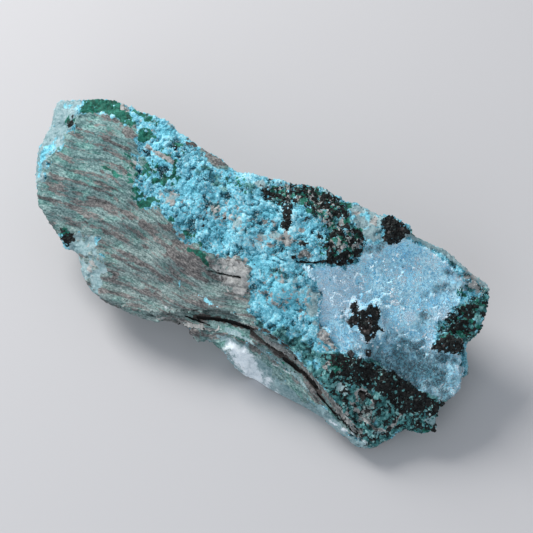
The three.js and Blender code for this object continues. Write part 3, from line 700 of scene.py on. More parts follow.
def lattice_hash(cells: np.ndarray, seed: int) -> np.ndarray:
    """Give a repeatable number from 0 to 1 for whole coordinates.

    Args:
        cells: Whole coordinates in the last axis.
        seed: Which set of numbers to give.

    Returns:
        One number for each cell.
    """
    primes = (np.uint32(374761393), np.uint32(668265263), np.uint32(2246822519))
    whole = cells.astype(np.int64).astype(np.uint32)
    mixed = np.full(cells.shape[:-1], (seed * 2654435761) % 2**32, np.uint32)
    for axis, prime in enumerate(primes):
        mixed = (mixed ^ (whole[..., axis] * prime)) * np.uint32(1274126177)
        mixed ^= mixed >> np.uint32(15)
    return mixed.astype(np.float64) / 2**32


def smooth_noise(points: np.ndarray, seed: int) -> np.ndarray:
    """Give smooth noise with features one unit across.

    Args:
        points: Places, one a row.
        seed: Which noise to give.

    Returns:
        Values from -1 to 1.
    """
    low = np.floor(points)
    t = points - low
    t = t * t * t * (t * (t * 6 - 15) + 10)
    total = np.zeros(len(points))
    for corner in np.ndindex(2, 2, 2):
        offset = np.array(corner)
        weight = np.prod(np.where(offset, t, 1 - t), axis=1)
        total += weight * lattice_hash(low + offset, seed)
    return total * 2 - 1


def layered_noise(points: np.ndarray, seed: int, layers: int = 3, fade: float = 0.5) -> np.ndarray:
    """Add up noise of finer and finer features.

    Args:
        points: Places, one a row.
        seed: Which noise to give.
        layers: How many sizes of feature.
        fade: How much weaker each finer one is.

    Returns:
        Values around -1 to 1.
    """
    total, strength = np.zeros(len(points)), 1.0
    for layer in range(layers):
        total += strength * smooth_noise(points * 2.03**layer, seed + 17 * layer)
        strength *= fade
    return total


def cell_noise(points: np.ndarray, seed: int) -> tuple[np.ndarray, np.ndarray]:
    """Measure how far each point is from the nearest of scattered centres, about one unit apart.

    Args:
        points: Places, one a row.
        seed: Which centres to scatter.

    Returns:
        The distance to the nearest centre, and a number from 0 to 1 that belongs to that centre.
    """
    low = np.floor(points)
    nearest, owner = np.full(len(points), np.inf), np.zeros(len(points))
    for step in np.ndindex(3, 3, 3):
        cell = low + np.array(step) - 1
        centre = np.stack([lattice_hash(cell, seed + n) for n in range(3)], axis=1) + cell
        away = np.sum((points - centre) ** 2, axis=1)
        closer = away < nearest
        nearest = np.where(closer, away, nearest)
        owner = np.where(closer, lattice_hash(cell, seed + 9), owner)
    return np.sqrt(nearest), owner


def ease(values: np.ndarray, low: float, high: float) -> np.ndarray:
    """Rise smoothly from 0 at low to 1 at high."""
    t = np.clip((values - low) / (high - low), 0, 1)
    return t * t * (3 - 2 * t)


@dataclass
class Cloud:
    """Surface points with their normals, and what the minerals are there.

    A point counts as seen where its normal faces the photograph's viewpoint, and all over the crystal crust.
    On the hidden sides the beds lie across one direction, BED_NORMAL.
    """

    points: np.ndarray
    normals: np.ndarray
    pixels: np.ndarray = field(init=False)
    seen: np.ndarray = field(init=False)
    along: np.ndarray = field(init=False)
    across: np.ndarray = field(init=False)
    warm: np.ndarray = field(init=False)
    level: dict[Mineral, np.ndarray] = field(init=False)

    BED_NORMAL: ClassVar[np.ndarray] = np.array([0.10, -0.28, 0.955])
    STRIPE_START: ClassVar[int] = 36
    STRIPE_SLOPES: ClassVar[Range] = (0.30, 0.40)
    FAINT: ClassVar[Range] = (-1.35, -0.60)
    FACING: ClassVar[Range] = (-0.12, 0.08)
    PRESENT: ClassVar[Range] = (-0.12, 0.12)
    CRUST_EDGE: ClassVar[Range] = (1.0, 4.0)
    STEEPER: ClassVar[Range] = (90, 150)
    GENTLER: ClassVar[Range] = (195, 228)
    FLATTER: ClassVar[Range] = (235, 290)
    WARMER: ClassVar[Range] = (150, 330)
    CRUST_LOW: ClassVar[float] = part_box("quartz_druse")[0].z + 3 * MM

    def __post_init__(self) -> None:
        """Work out the pixels, the bedding coordinates and the level of each mineral."""
        self.pixels = VIEW.to_pixels(self.points)
        facing = self.normals @ VIEW.axes()[2]
        above = ease(self.points[:, 2], self.CRUST_LOW, self.CRUST_LOW + MM)
        crust = ease(HOLLOW.depth(self.pixels), *self.CRUST_EDGE) * above
        self.seen = np.maximum(ease(facing, *self.FACING), crust)
        self._lay_bedding()
        hidden = self._hidden_density()
        self.level = {}
        for seed, (mineral, patches) in enumerate(REGIONS.items(), 40):
            shown = np.max([patch.density(self.pixels) for patch in patches], axis=0)
            density = shown * self.seen + hidden[mineral] * (1 - self.seen)
            edge = EDGES[mineral]
            uneven = layered_noise(self.points / (edge.size * MM), seed, 3)
            self.level[mineral] = density + edge.rough * uneven * ease(density, *self.FAINT)

    def _lay_bedding(self) -> None:
        """Set how far each point is along and across the rock's bands, in millimetres."""
        mm = self.points / MM
        per_mm = VIEW.pixels_per_metre * MM
        x, y = self.pixels[:, 0], self.pixels[:, 1]
        warp = 0.5 * smooth_noise(mm / 14, 5) + 0.2 * smooth_noise(mm / 5, 6)
        flatter = 1 - 0.35 * ease(y - 0.2 * x, *self.FLATTER)
        shown = 0.92 * (y - flatter * self._stripe(x)) / per_mm + warp
        # Below the ledge's line the bands follow the line
        ledge = np.interp(x, *zip(*LEDGE_LINE))
        below = (y > ledge - 3) & (x > LEDGE_LINE[0][0])
        shown = np.where(below, 0.7 * (y - ledge) / per_mm + 0.5 * warp, shown)
        hidden = mm @ self.BED_NORMAL + 1.2 * smooth_noise(mm / 12, 7)
        self.across = np.where(self.seen > 0.5, shown, hidden)
        self.along = np.where(self.seen > 0.5, (x + 0.4 * y) / per_mm, mm[:, 0] + 0.4 * mm[:, 1])
        shown_warm = np.where(below, 0.25, 0.75 * ease(0.3 * x + y, *self.WARMER))
        self.warm = np.where(self.seen > 0.5, shown_warm, 0.45 + 0.4 * smooth_noise(mm / 16, 8))

    def _stripe(self, x: np.ndarray) -> np.ndarray:
        """Give the height of one band's line.

        Args:
            x: Places across the photograph, in pixels.

        Returns:
            The line's height at each, in pixels.
        """
        grid = np.arange(self.STRIPE_START, VIEW.picture)
        gentle, extra = self.STRIPE_SLOPES
        slope = gentle + extra * ease(grid, *self.STEEPER) * (1 - ease(grid, *self.GENTLER))
        return np.interp(x, grid, np.cumsum(slope))

    def _hidden_density(self) -> dict[Mineral, np.ndarray]:
        """Continue the minerals over the sides that the photograph doesn't show.

        Returns:
            The density of each mineral.
        """
        mm = self.points / MM
        lens = np.stack([mm[:, 0] / 11, mm[:, 1] / 11, self.across / 2.2], axis=1)
        beds = layered_noise(lens, 21, 3, 0.6)
        broad = layered_noise(mm / 15, 23, 2)
        crust = ease(mm[:, 2] + 6 * broad + 2 * smooth_noise(mm / 4, 28), 7, 15)
        clumps = ease(layered_noise(mm / 9, 26, 2), 0.45, 0.9)
        return {
            Mineral.SKY: -0.5 + 0.9 * layered_noise(mm / 6, 29, 2) - 0.9 * (1 - crust),
            Mineral.PALE: -0.6 + 0.9 * layered_noise(mm / 8, 24, 2) + 0.3 * beds,
            Mineral.CHALK: -1.2 + 0.9 * smooth_noise(mm / 7, 30),
            Mineral.BANDED: 1.1 - 2.0 * crust + 0.5 * beds,
            Mineral.STREAK: -0.4 + 1.1 * beds,
            Mineral.MALACHITE: -0.9 + 0.9 * layered_noise(mm / 7, 31, 2) + 0.4 * crust,
            Mineral.BROWN: -1.3 + 0.9 * ease(-beds, 0.5, 1.1),
            Mineral.BEIGE: -0.9 + 0.9 * layered_noise(mm / 6, 25, 2),
            Mineral.DARK: NONE + 1.3 * clumps,
            Mineral.DEEP_AND_SHADE: -0.5 + 0.9 * layered_noise(mm / 8, 27, 2),
            Mineral.ICE: np.full(len(mm), NONE),
            Mineral.FROST: np.full(len(mm), NONE),
            # Painted shadow in the gaps between the beds
            Mineral.GAP_SHADE: NONE + 0.5 * ease(beds, 0.9, 1.3),
        }

    def amount(self, mineral: Mineral) -> np.ndarray:
        """Give how much of a mineral is at each point, from 0 to 1."""
        return ease(self.level[mineral], *self.PRESENT)


def mesh_arrays(mesh: bpy.types.Mesh) -> tuple[np.ndarray, np.ndarray]:
    """Read a mesh.

    Args:
        mesh: The mesh.

    Returns:
        Its points and their normals, one a row.
    """
    points, normals = np.empty(len(mesh.vertices) * 3), np.empty(len(mesh.vertices) * 3)
    mesh.vertices.foreach_get("co", points)
    mesh.vertices.foreach_get("normal", normals)
    return points.reshape(-1, 3), normals.reshape(-1, 3)


def move_points(mesh: bpy.types.Mesh, points: np.ndarray) -> None:
    """Put a mesh's points at new places."""
    mesh.vertices.foreach_set("co", points.ravel())
    mesh.update()


def write_floats(mesh: bpy.types.Mesh, name: str, values: np.ndarray) -> None:
    """Store one number a point under a name that the materials read."""
    layer = mesh.attributes.get(name) or mesh.attributes.new(name, "FLOAT", "POINT")
    layer.data.foreach_set("value", values.astype(np.float32))


def new_piece(name: str, points: np.ndarray, faces: np.ndarray) -> bpy.types.Object:
    """Make an object with flat faces from arrays.

    Args:
        name: The piece's name.
        points: Places in metres, one a row.
        faces: The corners of each triangle, one a row.

    Returns:
        The object, linked to the scene.
    """
    mesh = bpy.data.meshes.new(name)
    mesh.vertices.add(len(points))
    mesh.vertices.foreach_set("co", points.ravel())
    mesh.loops.add(faces.size)
    mesh.loops.foreach_set("vertex_index", faces.ravel().astype(np.int32))
    mesh.polygons.add(len(faces))
    mesh.polygons.foreach_set("loop_start", np.arange(0, faces.size, 3, dtype=np.int32))
    mesh.polygons.foreach_set("use_smooth", np.zeros(len(faces), bool))
    mesh.update(calc_edges=True)
    piece = bpy.data.objects.new(name, mesh)
    bpy.context.collection.objects.link(piece)
    return piece


def modified(
    source: bpy.types.Object, name: str, kind: str, **settings: float | str | bool
) -> bpy.types.Object:
    """Copy an object with one modifier applied.

    Args:
        source: The object, which stays as it is.
        name: The copy's name.
        kind: The modifier's type.
        **settings: The modifier's settings.

    Returns:
        The new object.
    """
    modifier = source.modifiers.new(kind.lower(), kind)
    for key, value in settings.items():
        setattr(modifier, key, value)
    graph = bpy.context.evaluated_depsgraph_get()
    mesh = bpy.data.meshes.new_from_object(source.evaluated_get(graph))
    source.modifiers.remove(modifier)
    mesh.materials.clear()
    mesh.name = name
    piece = bpy.data.objects.new(name, mesh)
    bpy.context.collection.objects.link(piece)
    return piece


def copy_of_node(node: str, name: str) -> bpy.types.Object:
    """Copy a solid's mesh into a new object, in the solids' frame.

    Args:
        node: The solid's name.
        name: The new object's name.

    Returns:
        The new object.
    """
    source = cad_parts[node]
    mesh = source.data.copy()
    mesh.transform(source.matrix_world)
    piece = bpy.data.objects.new(name, mesh)
    bpy.context.collection.objects.link(piece)
    return piece


def triangles_of(mesh: bpy.types.Mesh) -> np.ndarray:
    """Read the triangles of a mesh.

    Args:
        mesh: The mesh.

    Returns:
        The corners of each triangle, one a row.
    """
    mesh.calc_loop_triangles()
    corners = np.empty(len(mesh.loop_triangles) * 3, np.int32)
    mesh.loop_triangles.foreach_get("vertices", corners)
    return corners.reshape(-1, 3)


def joined_nodes(growth: dict[str, float], name: str) -> bpy.types.Object:
    """Copy several solids' meshes into one object.

    Args:
        growth: How far each solid is grown, so that it meets its neighbours.
        name: The object's name.

    Returns:
        The object, whose meshes overlap.
    """
    points, faces, count = [], [], 0
    for node, grown in growth.items():
        part = copy_of_node(node, "part")
        places, normals = mesh_arrays(part.data)
        points.append(places + normals * grown)
        faces.append(triangles_of(part.data) + count)
        count += len(places)
        drop(part)
    return new_piece(name, np.vstack(points), np.vstack(faces))


def drop(piece: bpy.types.Object) -> None:
    """Remove a helper object and its mesh.

    Args:
        piece: The object.
    """
    mesh = piece.data
    bpy.data.objects.remove(piece)
    bpy.data.meshes.remove(mesh)


def soften(mesh: bpy.types.Mesh, passes: int, share: float | np.ndarray = 1.0) -> None:
    """Smooth a mesh by moving each point towards its neighbours.

    Args:
        mesh: The mesh.
        passes: How many times.
        share: How much each point takes part, from 0 to 1.
    """
    points, _ = mesh_arrays(mesh)
    edges = np.empty(len(mesh.edges) * 2, np.int32)
    mesh.edges.foreach_get("vertices", edges)
    a, b = edges[::2], edges[1::2]
    count = np.bincount(edges, minlength=len(points))[:, None]
    strength = 0.5 * np.broadcast_to(share, len(points))[:, None]
    for _ in range(passes):
        mean = np.empty_like(points)
        for axis in range(3):
            mean[:, axis] = np.bincount(a, points[b, axis], len(points))
            mean[:, axis] += np.bincount(b, points[a, axis], len(points))
        points += strength * (mean / count - points)
    move_points(mesh, points)


@dataclass
class Relief:
    """The fine shape of each mineral: sizes, heights and depths in millimetres, and shares.

    A size with three numbers is along the bands, across them and upwards.
    """

    grain_size: float = 0.68
    grain_height: float = 0.38
    fine_share: float = 0.5
    fine_height: float = 0.26
    crevice_size: float = 2.1
    crevice_edge: Range = (0.0, 0.22)
    crevice_depth: float = 0.48
    pit_size: float = 1.7
    pit_edge: Range = (0.40, 0.85)
    pit_depth: float = 0.70
    swell_size: float = 3.0
    swell_height: float = 0.22
    dark_edge: Range = (-0.7, 0.1)
    dark_size: float = 0.75
    dark_height: float = 0.62
    dark_fine_share: float = 0.55
    dark_fine_height: float = 0.25
    streak_size: tuple[float, float, float] = (3.5, 0.7, 30)
    streak_height: float = 0.13
    bed_size: float = 1.9
    bed_height: float = 0.16
    wander_size: tuple[float, float, float] = (6, 5, 20)
    wander: float = 0.6
    chip_size: tuple[float, float, float] = (4, 1.3, 9)
    chip_height: float = 0.20
    fibre_size: float = 0.7
    fibre_height: float = 0.10
    gap_depth: float = 0.65
    pale_size: float = 1.6
    pale_height: float = 0.22
    lump_size: float = 3.2
    lump_height: float = 0.34
    lump_grain_size: float = 1.1
    lump_grain_height: float = 0.25
    pale_smoothness: float = 0.65
    velvet_smoothness: float = 0.5

    def at(self, cloud: Cloud) -> np.ndarray:
        """Work out the relief.

        Args:
            cloud: The surface.

        Returns:
            Millimetres outwards at each point.
        """
        mm = cloud.points / MM
        banded = np.maximum(cloud.amount(Mineral.BANDED), cloud.amount(Mineral.BROWN))
        zone = ease(cloud.level[Mineral.DARK], *self.dark_edge) * (1 - 0.8 * banded)
        pale = cloud.amount(Mineral.PALE) * self.pale_smoothness
        ice = cloud.amount(Mineral.ICE)
        velvet = self.velvet_smoothness * cloud.amount(Mineral.MALACHITE)
        crumbly = (1 - banded) * (1 - zone) * (1 - pale) * (1 - 0.9 * ice) * (1 - velvet)
        return (
            crumbly * self._crumbs(mm)
            + zone * self._aggregate(mm)
            + banded * self._beds(cloud)
            + pale * self.pale_height * layered_noise(mm / self.pale_size, 61, 3)
            + ice * self._lumps(mm)
            - self.gap_depth * cloud.amount(Mineral.GAP_SHADE)
        )

    def _crumbs(self, mm: np.ndarray) -> np.ndarray:
        """Give the granular surface of the chrysocolla, with crevices and pits between its grains.

        Args:
            mm: Places in millimetres, one a row.

        Returns:
            Millimetres outwards at each.
        """
        coarse, level = cell_noise(mm / self.grain_size + 0.25 * smooth_noise(mm, 3)[:, None], 71)
        fine, _ = cell_noise(mm / (self.fine_share * self.grain_size), 75)
        pits = ease(-layered_noise(mm / self.pit_size, 79, 2), *self.pit_edge)
        crevices = 1 - ease(np.abs(layered_noise(mm / self.crevice_size, 81, 2)), *self.crevice_edge)
        swell = self.swell_height * layered_noise(mm / self.swell_size, 83, 3)
        grains = self.grain_height * (0.3 + 0.5 * level - coarse) + self.fine_height * (0.5 - fine)
        return swell + grains - self.crevice_depth * crevices - self.pit_depth * pits

    def _aggregate(self, mm: np.ndarray) -> np.ndarray:
        """Give the grainy surface of the dark aggregate.

        Args:
            mm: Places in millimetres, one a row.

        Returns:
            Millimetres outwards at each.
        """
        middle, owner = cell_noise(mm / self.dark_size, 91)
        fine, level = cell_noise(mm / (self.dark_fine_share * self.dark_size), 95)
        return self.dark_height * (0.5 * owner + 0.3 - middle) + self.dark_fine_height * (level - fine)

    def _lumps(self, mm: np.ndarray) -> np.ndarray:
        """Give the soft lumps of the crystal crust.

        Args:
            mm: Places in millimetres, one a row.

        Returns:
            Millimetres outwards at each.
        """
        middle, _ = cell_noise(mm / self.lump_grain_size, 144)
        lumps = self.lump_height * layered_noise(mm / self.lump_size, 141, 2)
        return lumps + self.lump_grain_height * (0.5 - middle)

    def _beds(self, cloud: Cloud) -> np.ndarray:
        """Give the streaks, the stepped beds and the chips of the banded rock.

        Args:
            cloud: The surface.

        Returns:
            Millimetres outwards at each point.
        """
        mm = cloud.points / MM
        bedded = np.stack([cloud.along, cloud.across, mm[:, 2]], axis=1)
        streaks = layered_noise(bedded / self.streak_size, 101, 2, 0.7)
        phase = cloud.across / self.bed_size + self.wander * smooth_noise(bedded / self.wander_size, 104)
        steps = (phase - np.floor(phase)) - 0.5
        _, level = cell_noise(bedded / self.chip_size, 107)
        chips = self.chip_height * (level - 0.5)
        fibres = self.fibre_height * layered_noise(mm / self.fibre_size, 109, 2)
        return self.streak_height * streaks + self.bed_height * steps + chips + fibres


class Value:
    """A socket in a material's maths, on which Python's operators add Math nodes."""

    def __init__(self, graph: "Graph", socket: bpy.types.NodeSocket) -> None:
        """Wrap a socket of a graph."""
        self.graph = graph
        self.socket = socket

    def _with(self, operation: str, first: "Value | float", second: "Value | float") -> "Value":
        """Add a Math node of two terms."""
        return self.graph.add("ShaderNodeMath", {"operation": operation}, {0: first, 1: second})

    def __add__(self, other: "Value | float") -> "Value":
        """Add a term."""
        return self._with("ADD", self, other)

    __radd__ = __add__

    def __sub__(self, other: "Value | float") -> "Value":
        """Subtract a term."""
        return self._with("SUBTRACT", self, other)

    def __rsub__(self, other: float) -> "Value":
        """Subtract this from a number."""
        return self._with("SUBTRACT", other, self)

    def __mul__(self, other: "Value | float") -> "Value":
        """Multiply by a term."""
        return self._with("MULTIPLY", self, other)

    __rmul__ = __mul__

    def step(self, low: float, high: float) -> "Value":
        """Rise smoothly from 0 at low to 1 at high."""
        settings = {"interpolation_type": "SMOOTHSTEP"}
        return self.graph.add("ShaderNodeMapRange", settings, {0: self, 1: low, 2: high})


Term = Value | float | Sequence[float]


class Graph:
    """The nodes of one material."""

    def __init__(self, name: str) -> None:
        """Make a material with nothing in it but its output and its shader.

        Args:
            name: The material's name.
        """
        self.material = bpy.data.materials.new(name)
        self.material.use_nodes = True
        self.tree = self.material.node_tree
        self.tree.nodes.clear()
        self.shader = self.tree.nodes.new("ShaderNodeBsdfPrincipled")
        output = self.tree.nodes.new("ShaderNodeOutputMaterial")
        self.tree.links.new(self.shader.outputs[0], output.inputs["Surface"])

    def add(
        self, kind: str, settings: dict[str, object], inputs: dict[str | int, Term], output: int | str = 0
    ) -> Value:
        """Add a node.

        Args:
            kind: The node's type.
            settings: What is set on it first. A ramp's stops are under "stops", as places and colours.
            inputs: Numbers, colours or links for its sockets.
            output: Which of its outputs to give.

        Returns:
            That output.
        """
        node = self.tree.nodes.new(kind)
        for key, value in settings.items():
            if key == "stops":
                self._set_stops(node.color_ramp, value)
            else:
                setattr(node, key, value)
        for key, value in inputs.items():
            self.feed(node.inputs[key], value)
        return Value(self, node.outputs[output])

    def _set_stops(self, ramp: bpy.types.ColorRamp, stops: Stops) -> None:
        """Give a ramp its stops.

        Args:
            ramp: The ramp.
            stops: Places and colours.
        """
        while len(ramp.elements) < len(stops):
            ramp.elements.new(1.0)
        for element, (place, colour) in zip(ramp.elements, stops):
            element.position = place
            element.color = (*colour, 1.0)

    def feed(self, socket: bpy.types.NodeSocket, value: Term) -> None:
        """Give a socket a link or a constant.

        Args:
            socket: The socket.
            value: What it gets. A colour of three numbers is filled up with a one.
        """
        if isinstance(value, Value):
            self.tree.links.new(value.socket, socket)
        elif isinstance(value, (int, float)):
            socket.default_value = value
        else:
            constant = (*value, 1.0) if len(socket.default_value) == 4 and len(value) == 3 else value
            socket.default_value = constant

    def shade(self, **inputs: Term) -> None:
        """Feed the shader's sockets, named with underscores for spaces."""
        for key, value in inputs.items():
            self.feed(self.shader.inputs[key.replace("_", " ")], value)

    def stored(self, name: str) -> Value:
        """Read a number stored on the mesh."""
        return self.add("ShaderNodeAttribute", {"attribute_name": name}, {}, "Fac")

    def level(self, mineral: Mineral) -> Value:
        """Read the level of a mineral."""
        return self.stored(mineral.value)

    def deepened_and_shaded(self) -> Value:
        """Give how far the crystal crust's colour deepens, from 0 to 1, partly a deeper blue and partly
        painted shade.
        """
        return self.level(Mineral.DEEP_AND_SHADE).step(-1.0, 0.9)

    def frosted(self) -> Value:
        """Give how white the crystal crust is, from 0 to 1."""
        return self.level(Mineral.FROST).step(-0.6, 0.6)

    def place(self) -> Value:
        """Give the place on the piece, in metres."""
        return self.add("ShaderNodeTexCoord", {}, {}, "Object")

    def noise(self, vector: Value, scale: float, detail: float = 3.0, rough: float = 0.55) -> Value:
        """Give soft noise around 0.5, with features of one over the scale."""
        inputs = {"Vector": vector, "Scale": scale, "Detail": detail, "Roughness": rough}
        return self.add("ShaderNodeTexNoise", {}, inputs, 0)

    def cells(self, vector: Value, scale: float, output: str = "Distance") -> Value:
        """Give the distance to scattered centres, or the colour of the nearest."""
        return self.add("ShaderNodeTexVoronoi", {}, {"Vector": vector, "Scale": scale}, output)

    def ramp(self, factor: Value, stops: Stops) -> Value:
        """Turn a number into a colour."""
        return self.add("ShaderNodeValToRGB", {"stops": stops}, {0: factor})

    def mix(self, factor: Term, first: Term, second: Term) -> Value:
        """Mix two colours."""
        return self.add("ShaderNodeMix", {"data_type": "RGBA"}, {0: factor, 6: first, 7: second}, 2)

    def vector(self, x: Term, y: Term, z: Term) -> Value:
        """Join three numbers."""
        return self.add("ShaderNodeCombineXYZ", {}, {0: x, 1: y, 2: z})

    def bump(self, height: Value, strength: float, distance: float) -> Value:
        """Give a normal bent by a height, in metres."""
        inputs = {"Height": height, "Strength": strength, "Distance": distance}
        return self.add("ShaderNodeBump", {}, inputs)


@dataclass(frozen=True)
class RockFinish:
    """The rock's skin: turquoise chrysocolla with the other minerals laid over it by their levels, and
    painted shade in its crevices and gaps.
    """

    chrysocolla: Stops = (
        (0.14, (0.008, 0.060, 0.080)), (0.30, (0.040, 0.215, 0.285)), (0.46, (0.132, 0.465, 0.600)),
        (0.61, (0.290, 0.690, 0.820)), (0.84, (0.640, 0.860, 0.890)),
    )
    sky: Stops = (
        (0.12, (0.012, 0.100, 0.140)), (0.32, (0.060, 0.320, 0.420)), (0.52, (0.190, 0.590, 0.735)),
        (0.80, (0.450, 0.820, 0.900)),
    )
    chalk: Stops = (
        (0.20, (0.560, 0.660, 0.720)), (0.50, (0.790, 0.870, 0.930)), (0.78, (0.880, 0.940, 0.970)),
    )
    banded_cool: Stops = (
        (0.20, (0.040, 0.100, 0.100)), (0.50, (0.155, 0.285, 0.285)), (0.80, (0.360, 0.530, 0.510)),
    )
    banded_green: Stops = (
        (0.20, (0.018, 0.090, 0.080)), (0.50, (0.095, 0.280, 0.255)), (0.80, (0.280, 0.520, 0.470)),
    )
    banded_warm: Stops = (
        (0.20, (0.048, 0.068, 0.068)), (0.50, (0.175, 0.228, 0.226)), (0.80, (0.400, 0.460, 0.450)),
    )
    streaks: Stops = (
        (0.20, (0.030, 0.025, 0.025)), (0.50, (0.122, 0.109, 0.110)), (0.80, (0.300, 0.276, 0.270)),
    )
    malachite: Stops = (
        (0.16, (0.001, 0.029, 0.020)), (0.40, (0.003, 0.090, 0.062)), (0.58, (0.010, 0.163, 0.117)),
        (0.82, (0.058, 0.298, 0.232)),
    )
    pale: Stops = (
        (0.20, (0.102, 0.210, 0.230)), (0.46, (0.230, 0.355, 0.385)), (0.70, (0.380, 0.505, 0.530)),
    )
    brown: Stops = (
        (0.28, (0.012, 0.010, 0.009)), (0.50, (0.060, 0.051, 0.047)), (0.76, (0.200, 0.178, 0.160)),
    )
    beige: Stops = (
        (0.22, (0.135, 0.141, 0.139)), (0.50, (0.330, 0.337, 0.333)), (0.78, (0.550, 0.556, 0.547)),
    )
    black: Stops = (
        (0.40, (0.004, 0.004, 0.004)), (0.60, (0.012, 0.015, 0.015)), (0.78, (0.055, 0.084, 0.080)),
    )
    # Painted shadow colour of the gaps and cracks
    gap: Colour = (0.0060, 0.0050, 0.0045)
    # Deep teal, which also carries some painted shade next to the crystal crust
    deep: Stops = (
        (0.14, (0.006, 0.031, 0.034)), (0.42, (0.028, 0.138, 0.142)), (0.66, (0.085, 0.285, 0.290)),
        (0.88, (0.260, 0.480, 0.480)),
    )
    ice: Stops = (
        (0.20, (0.300, 0.680, 0.920)), (0.50, (0.480, 0.860, 1.000)), (0.78, (0.760, 0.940, 1.000)),
    )
    # Deeper blue of the crystal crust, also its painted shade
    ice_deep_and_shade: Stops = (
        (0.20, (0.050, 0.190, 0.250)), (0.50, (0.120, 0.300, 0.380)), (0.78, (0.280, 0.480, 0.560)),
    )
    frost: Colour = (0.520, 0.740, 0.880)
    frost_share: float = 0.7
    speck: Colour = (0.50, 0.56, 0.55)
    speck_share: float = 0.6
    speck_range: Range = (0.575, 0.64)
    fine_scale: float = 2600.0
    soft_scale: float = 900.0
    broad_scale: float = 240.0
    speck_scale: float = 1700.0
    grain_scale: float = 1450.0
    roughness: float = 0.82
    shine: float = 0.35
    bump_strength: float = 0.6
    bump_depth: float = 0.25 * MM

    def make(self, name: str) -> bpy.types.Material:
        """Build the material.

        Args:
            name: Its name.

        Returns:
            The material.
        """
        g = Graph(name)
        place = g.place()
        fine = g.noise(place, self.fine_scale, 4, 0.62)
        soft = g.noise(place, self.soft_scale, 4, 0.6)
        broad = g.noise(place, self.broad_scale, 3, 0.55)
        uneven = fine * 1.2 + soft * 0.8 - 1.0
        middle = g.cells(place, self.grain_scale)
        # The sum turns the grains' random colours into one number a grain
        owner = g.cells(place, self.grain_scale, "Color") + 0.0
        relief, tone = g.stored("relief"), g.stored("tone")
        # The relief term is painted shade and highlight: crevices darker, raised tops lighter
        grain_and_shade = fine * 0.8 + soft * 0.55 + broad * 0.5 + relief * 0.42 + tone * 0.12 - 0.43
        colour = g.ramp(grain_and_shade, self.chrysocolla)
        specks = g.noise(place, self.speck_scale, 3, 0.6).step(*self.speck_range)
        colour = g.mix(specks * self.speck_share, colour, self.speck)
        granules = g.ramp(grain_and_shade + owner * 0.7 - 0.35, self.deep)
        bands, fibres = self._bands(g, fine, tone)
        ice = g.mix(g.deepened_and_shaded(), g.ramp(grain_and_shade, self.ice), g.ramp(grain_and_shade, self.ice_deep_and_shade))
        ice = g.mix(g.frosted() * self.frost_share, ice, self.frost)
        for mineral, over in (
            (Mineral.DEEP_AND_SHADE, granules),
            (Mineral.PALE, g.ramp(grain_and_shade, self.pale)),
            (Mineral.BANDED, bands),
            (Mineral.SKY, g.ramp(grain_and_shade, self.sky)),
            (Mineral.ICE, ice),
            (Mineral.MALACHITE, g.ramp(grain_and_shade * 0.9 + owner * 0.35 - 0.15, self.malachite)),
            (Mineral.CHALK, g.ramp(grain_and_shade, self.chalk)),
            (Mineral.BEIGE, g.ramp(grain_and_shade, self.beige)),
            (Mineral.BROWN, g.ramp(fine * 0.6 + fibres * 0.4, self.brown)),
        ):
            blend = EDGES[mineral].blend
            colour = g.mix((g.level(mineral) + uneven).step(-blend, blend), colour, over)
        dark = g.level(Mineral.DARK) * 0.85 + (middle - 0.42) * 1.5
        dark = dark + (0.5 - owner) * 1.5 + fine * 0.3 - 0.15
        # The relief term is a painted highlight on raised black grains
        black = g.ramp(fine * 0.7 + soft * 0.3 + relief * 0.1, self.black)
        colour = g.mix(dark.step(-0.05, 0.07), colour, black)
        # Painted shadow in the gaps and cracks
        gap = (g.level(Mineral.GAP_SHADE) + fine * 0.5 - 0.25).step(-0.25, 0.10)
        colour = g.mix(gap, colour, self.gap)
        height = fine * 0.6 + soft * 0.4 + g.level(Mineral.BANDED).step(-0.1, 0.1) * fibres * 0.5
        g.shade(Base_Color=colour, Roughness=self.roughness - fine * 0.15, Specular_IOR_Level=self.shine)
        g.shade(Normal=g.bump(height, self.bump_strength, self.bump_depth))
        return g.material

    def _bands(self, g: Graph, fine: Value, tone: Value) -> tuple[Value, Value]:
        """Give the felt and the streaks along the banded rock, greener at one end and browner at the other.

        Args:
            g: The material's nodes.
            fine: Fine noise.
            tone: How much lighter or darker the piece is.

        Returns:
            The colour and the fibres' own pattern.
        """
        along, across, warm = g.stored("along"), g.stored("across"), g.stored("warm")
        lenses = g.noise(g.vector(along * 0.13, across * 0.75, 0.0), 1.0, 2, 0.5)
        strands = g.noise(g.vector(along * 0.35, across * 1.7, 4.0), 1.0, 2, 0.6)
        felt = g.noise(g.vector(along * 1.3, across * 3.6, 8.0), 1.0, 3, 0.75)
        green = g.noise(g.vector(along * 0.22, across * 0.5, 12.0), 1.0, 2, 0.5).step(0.48, 0.64)
        value = felt * 1.5 + strands * 0.5 + fine * 0.9 + tone * 0.08 - 0.95
        ground = g.mix(warm, g.ramp(value, self.banded_cool), g.ramp(value, self.banded_warm))
        ground = g.mix(green * (0.75 - warm * 0.55), ground, g.ramp(value, self.banded_green))
        placed = g.level(Mineral.STREAK).step(-0.7, 0.6) * 0.26
        brown = (placed + lenses + strands * 0.35 + felt * 0.6 + warm * 0.06 - 1.065).step(-0.04, 0.04)
        return g.mix(brown * 0.9, ground, g.ramp(value, self.streaks)), felt


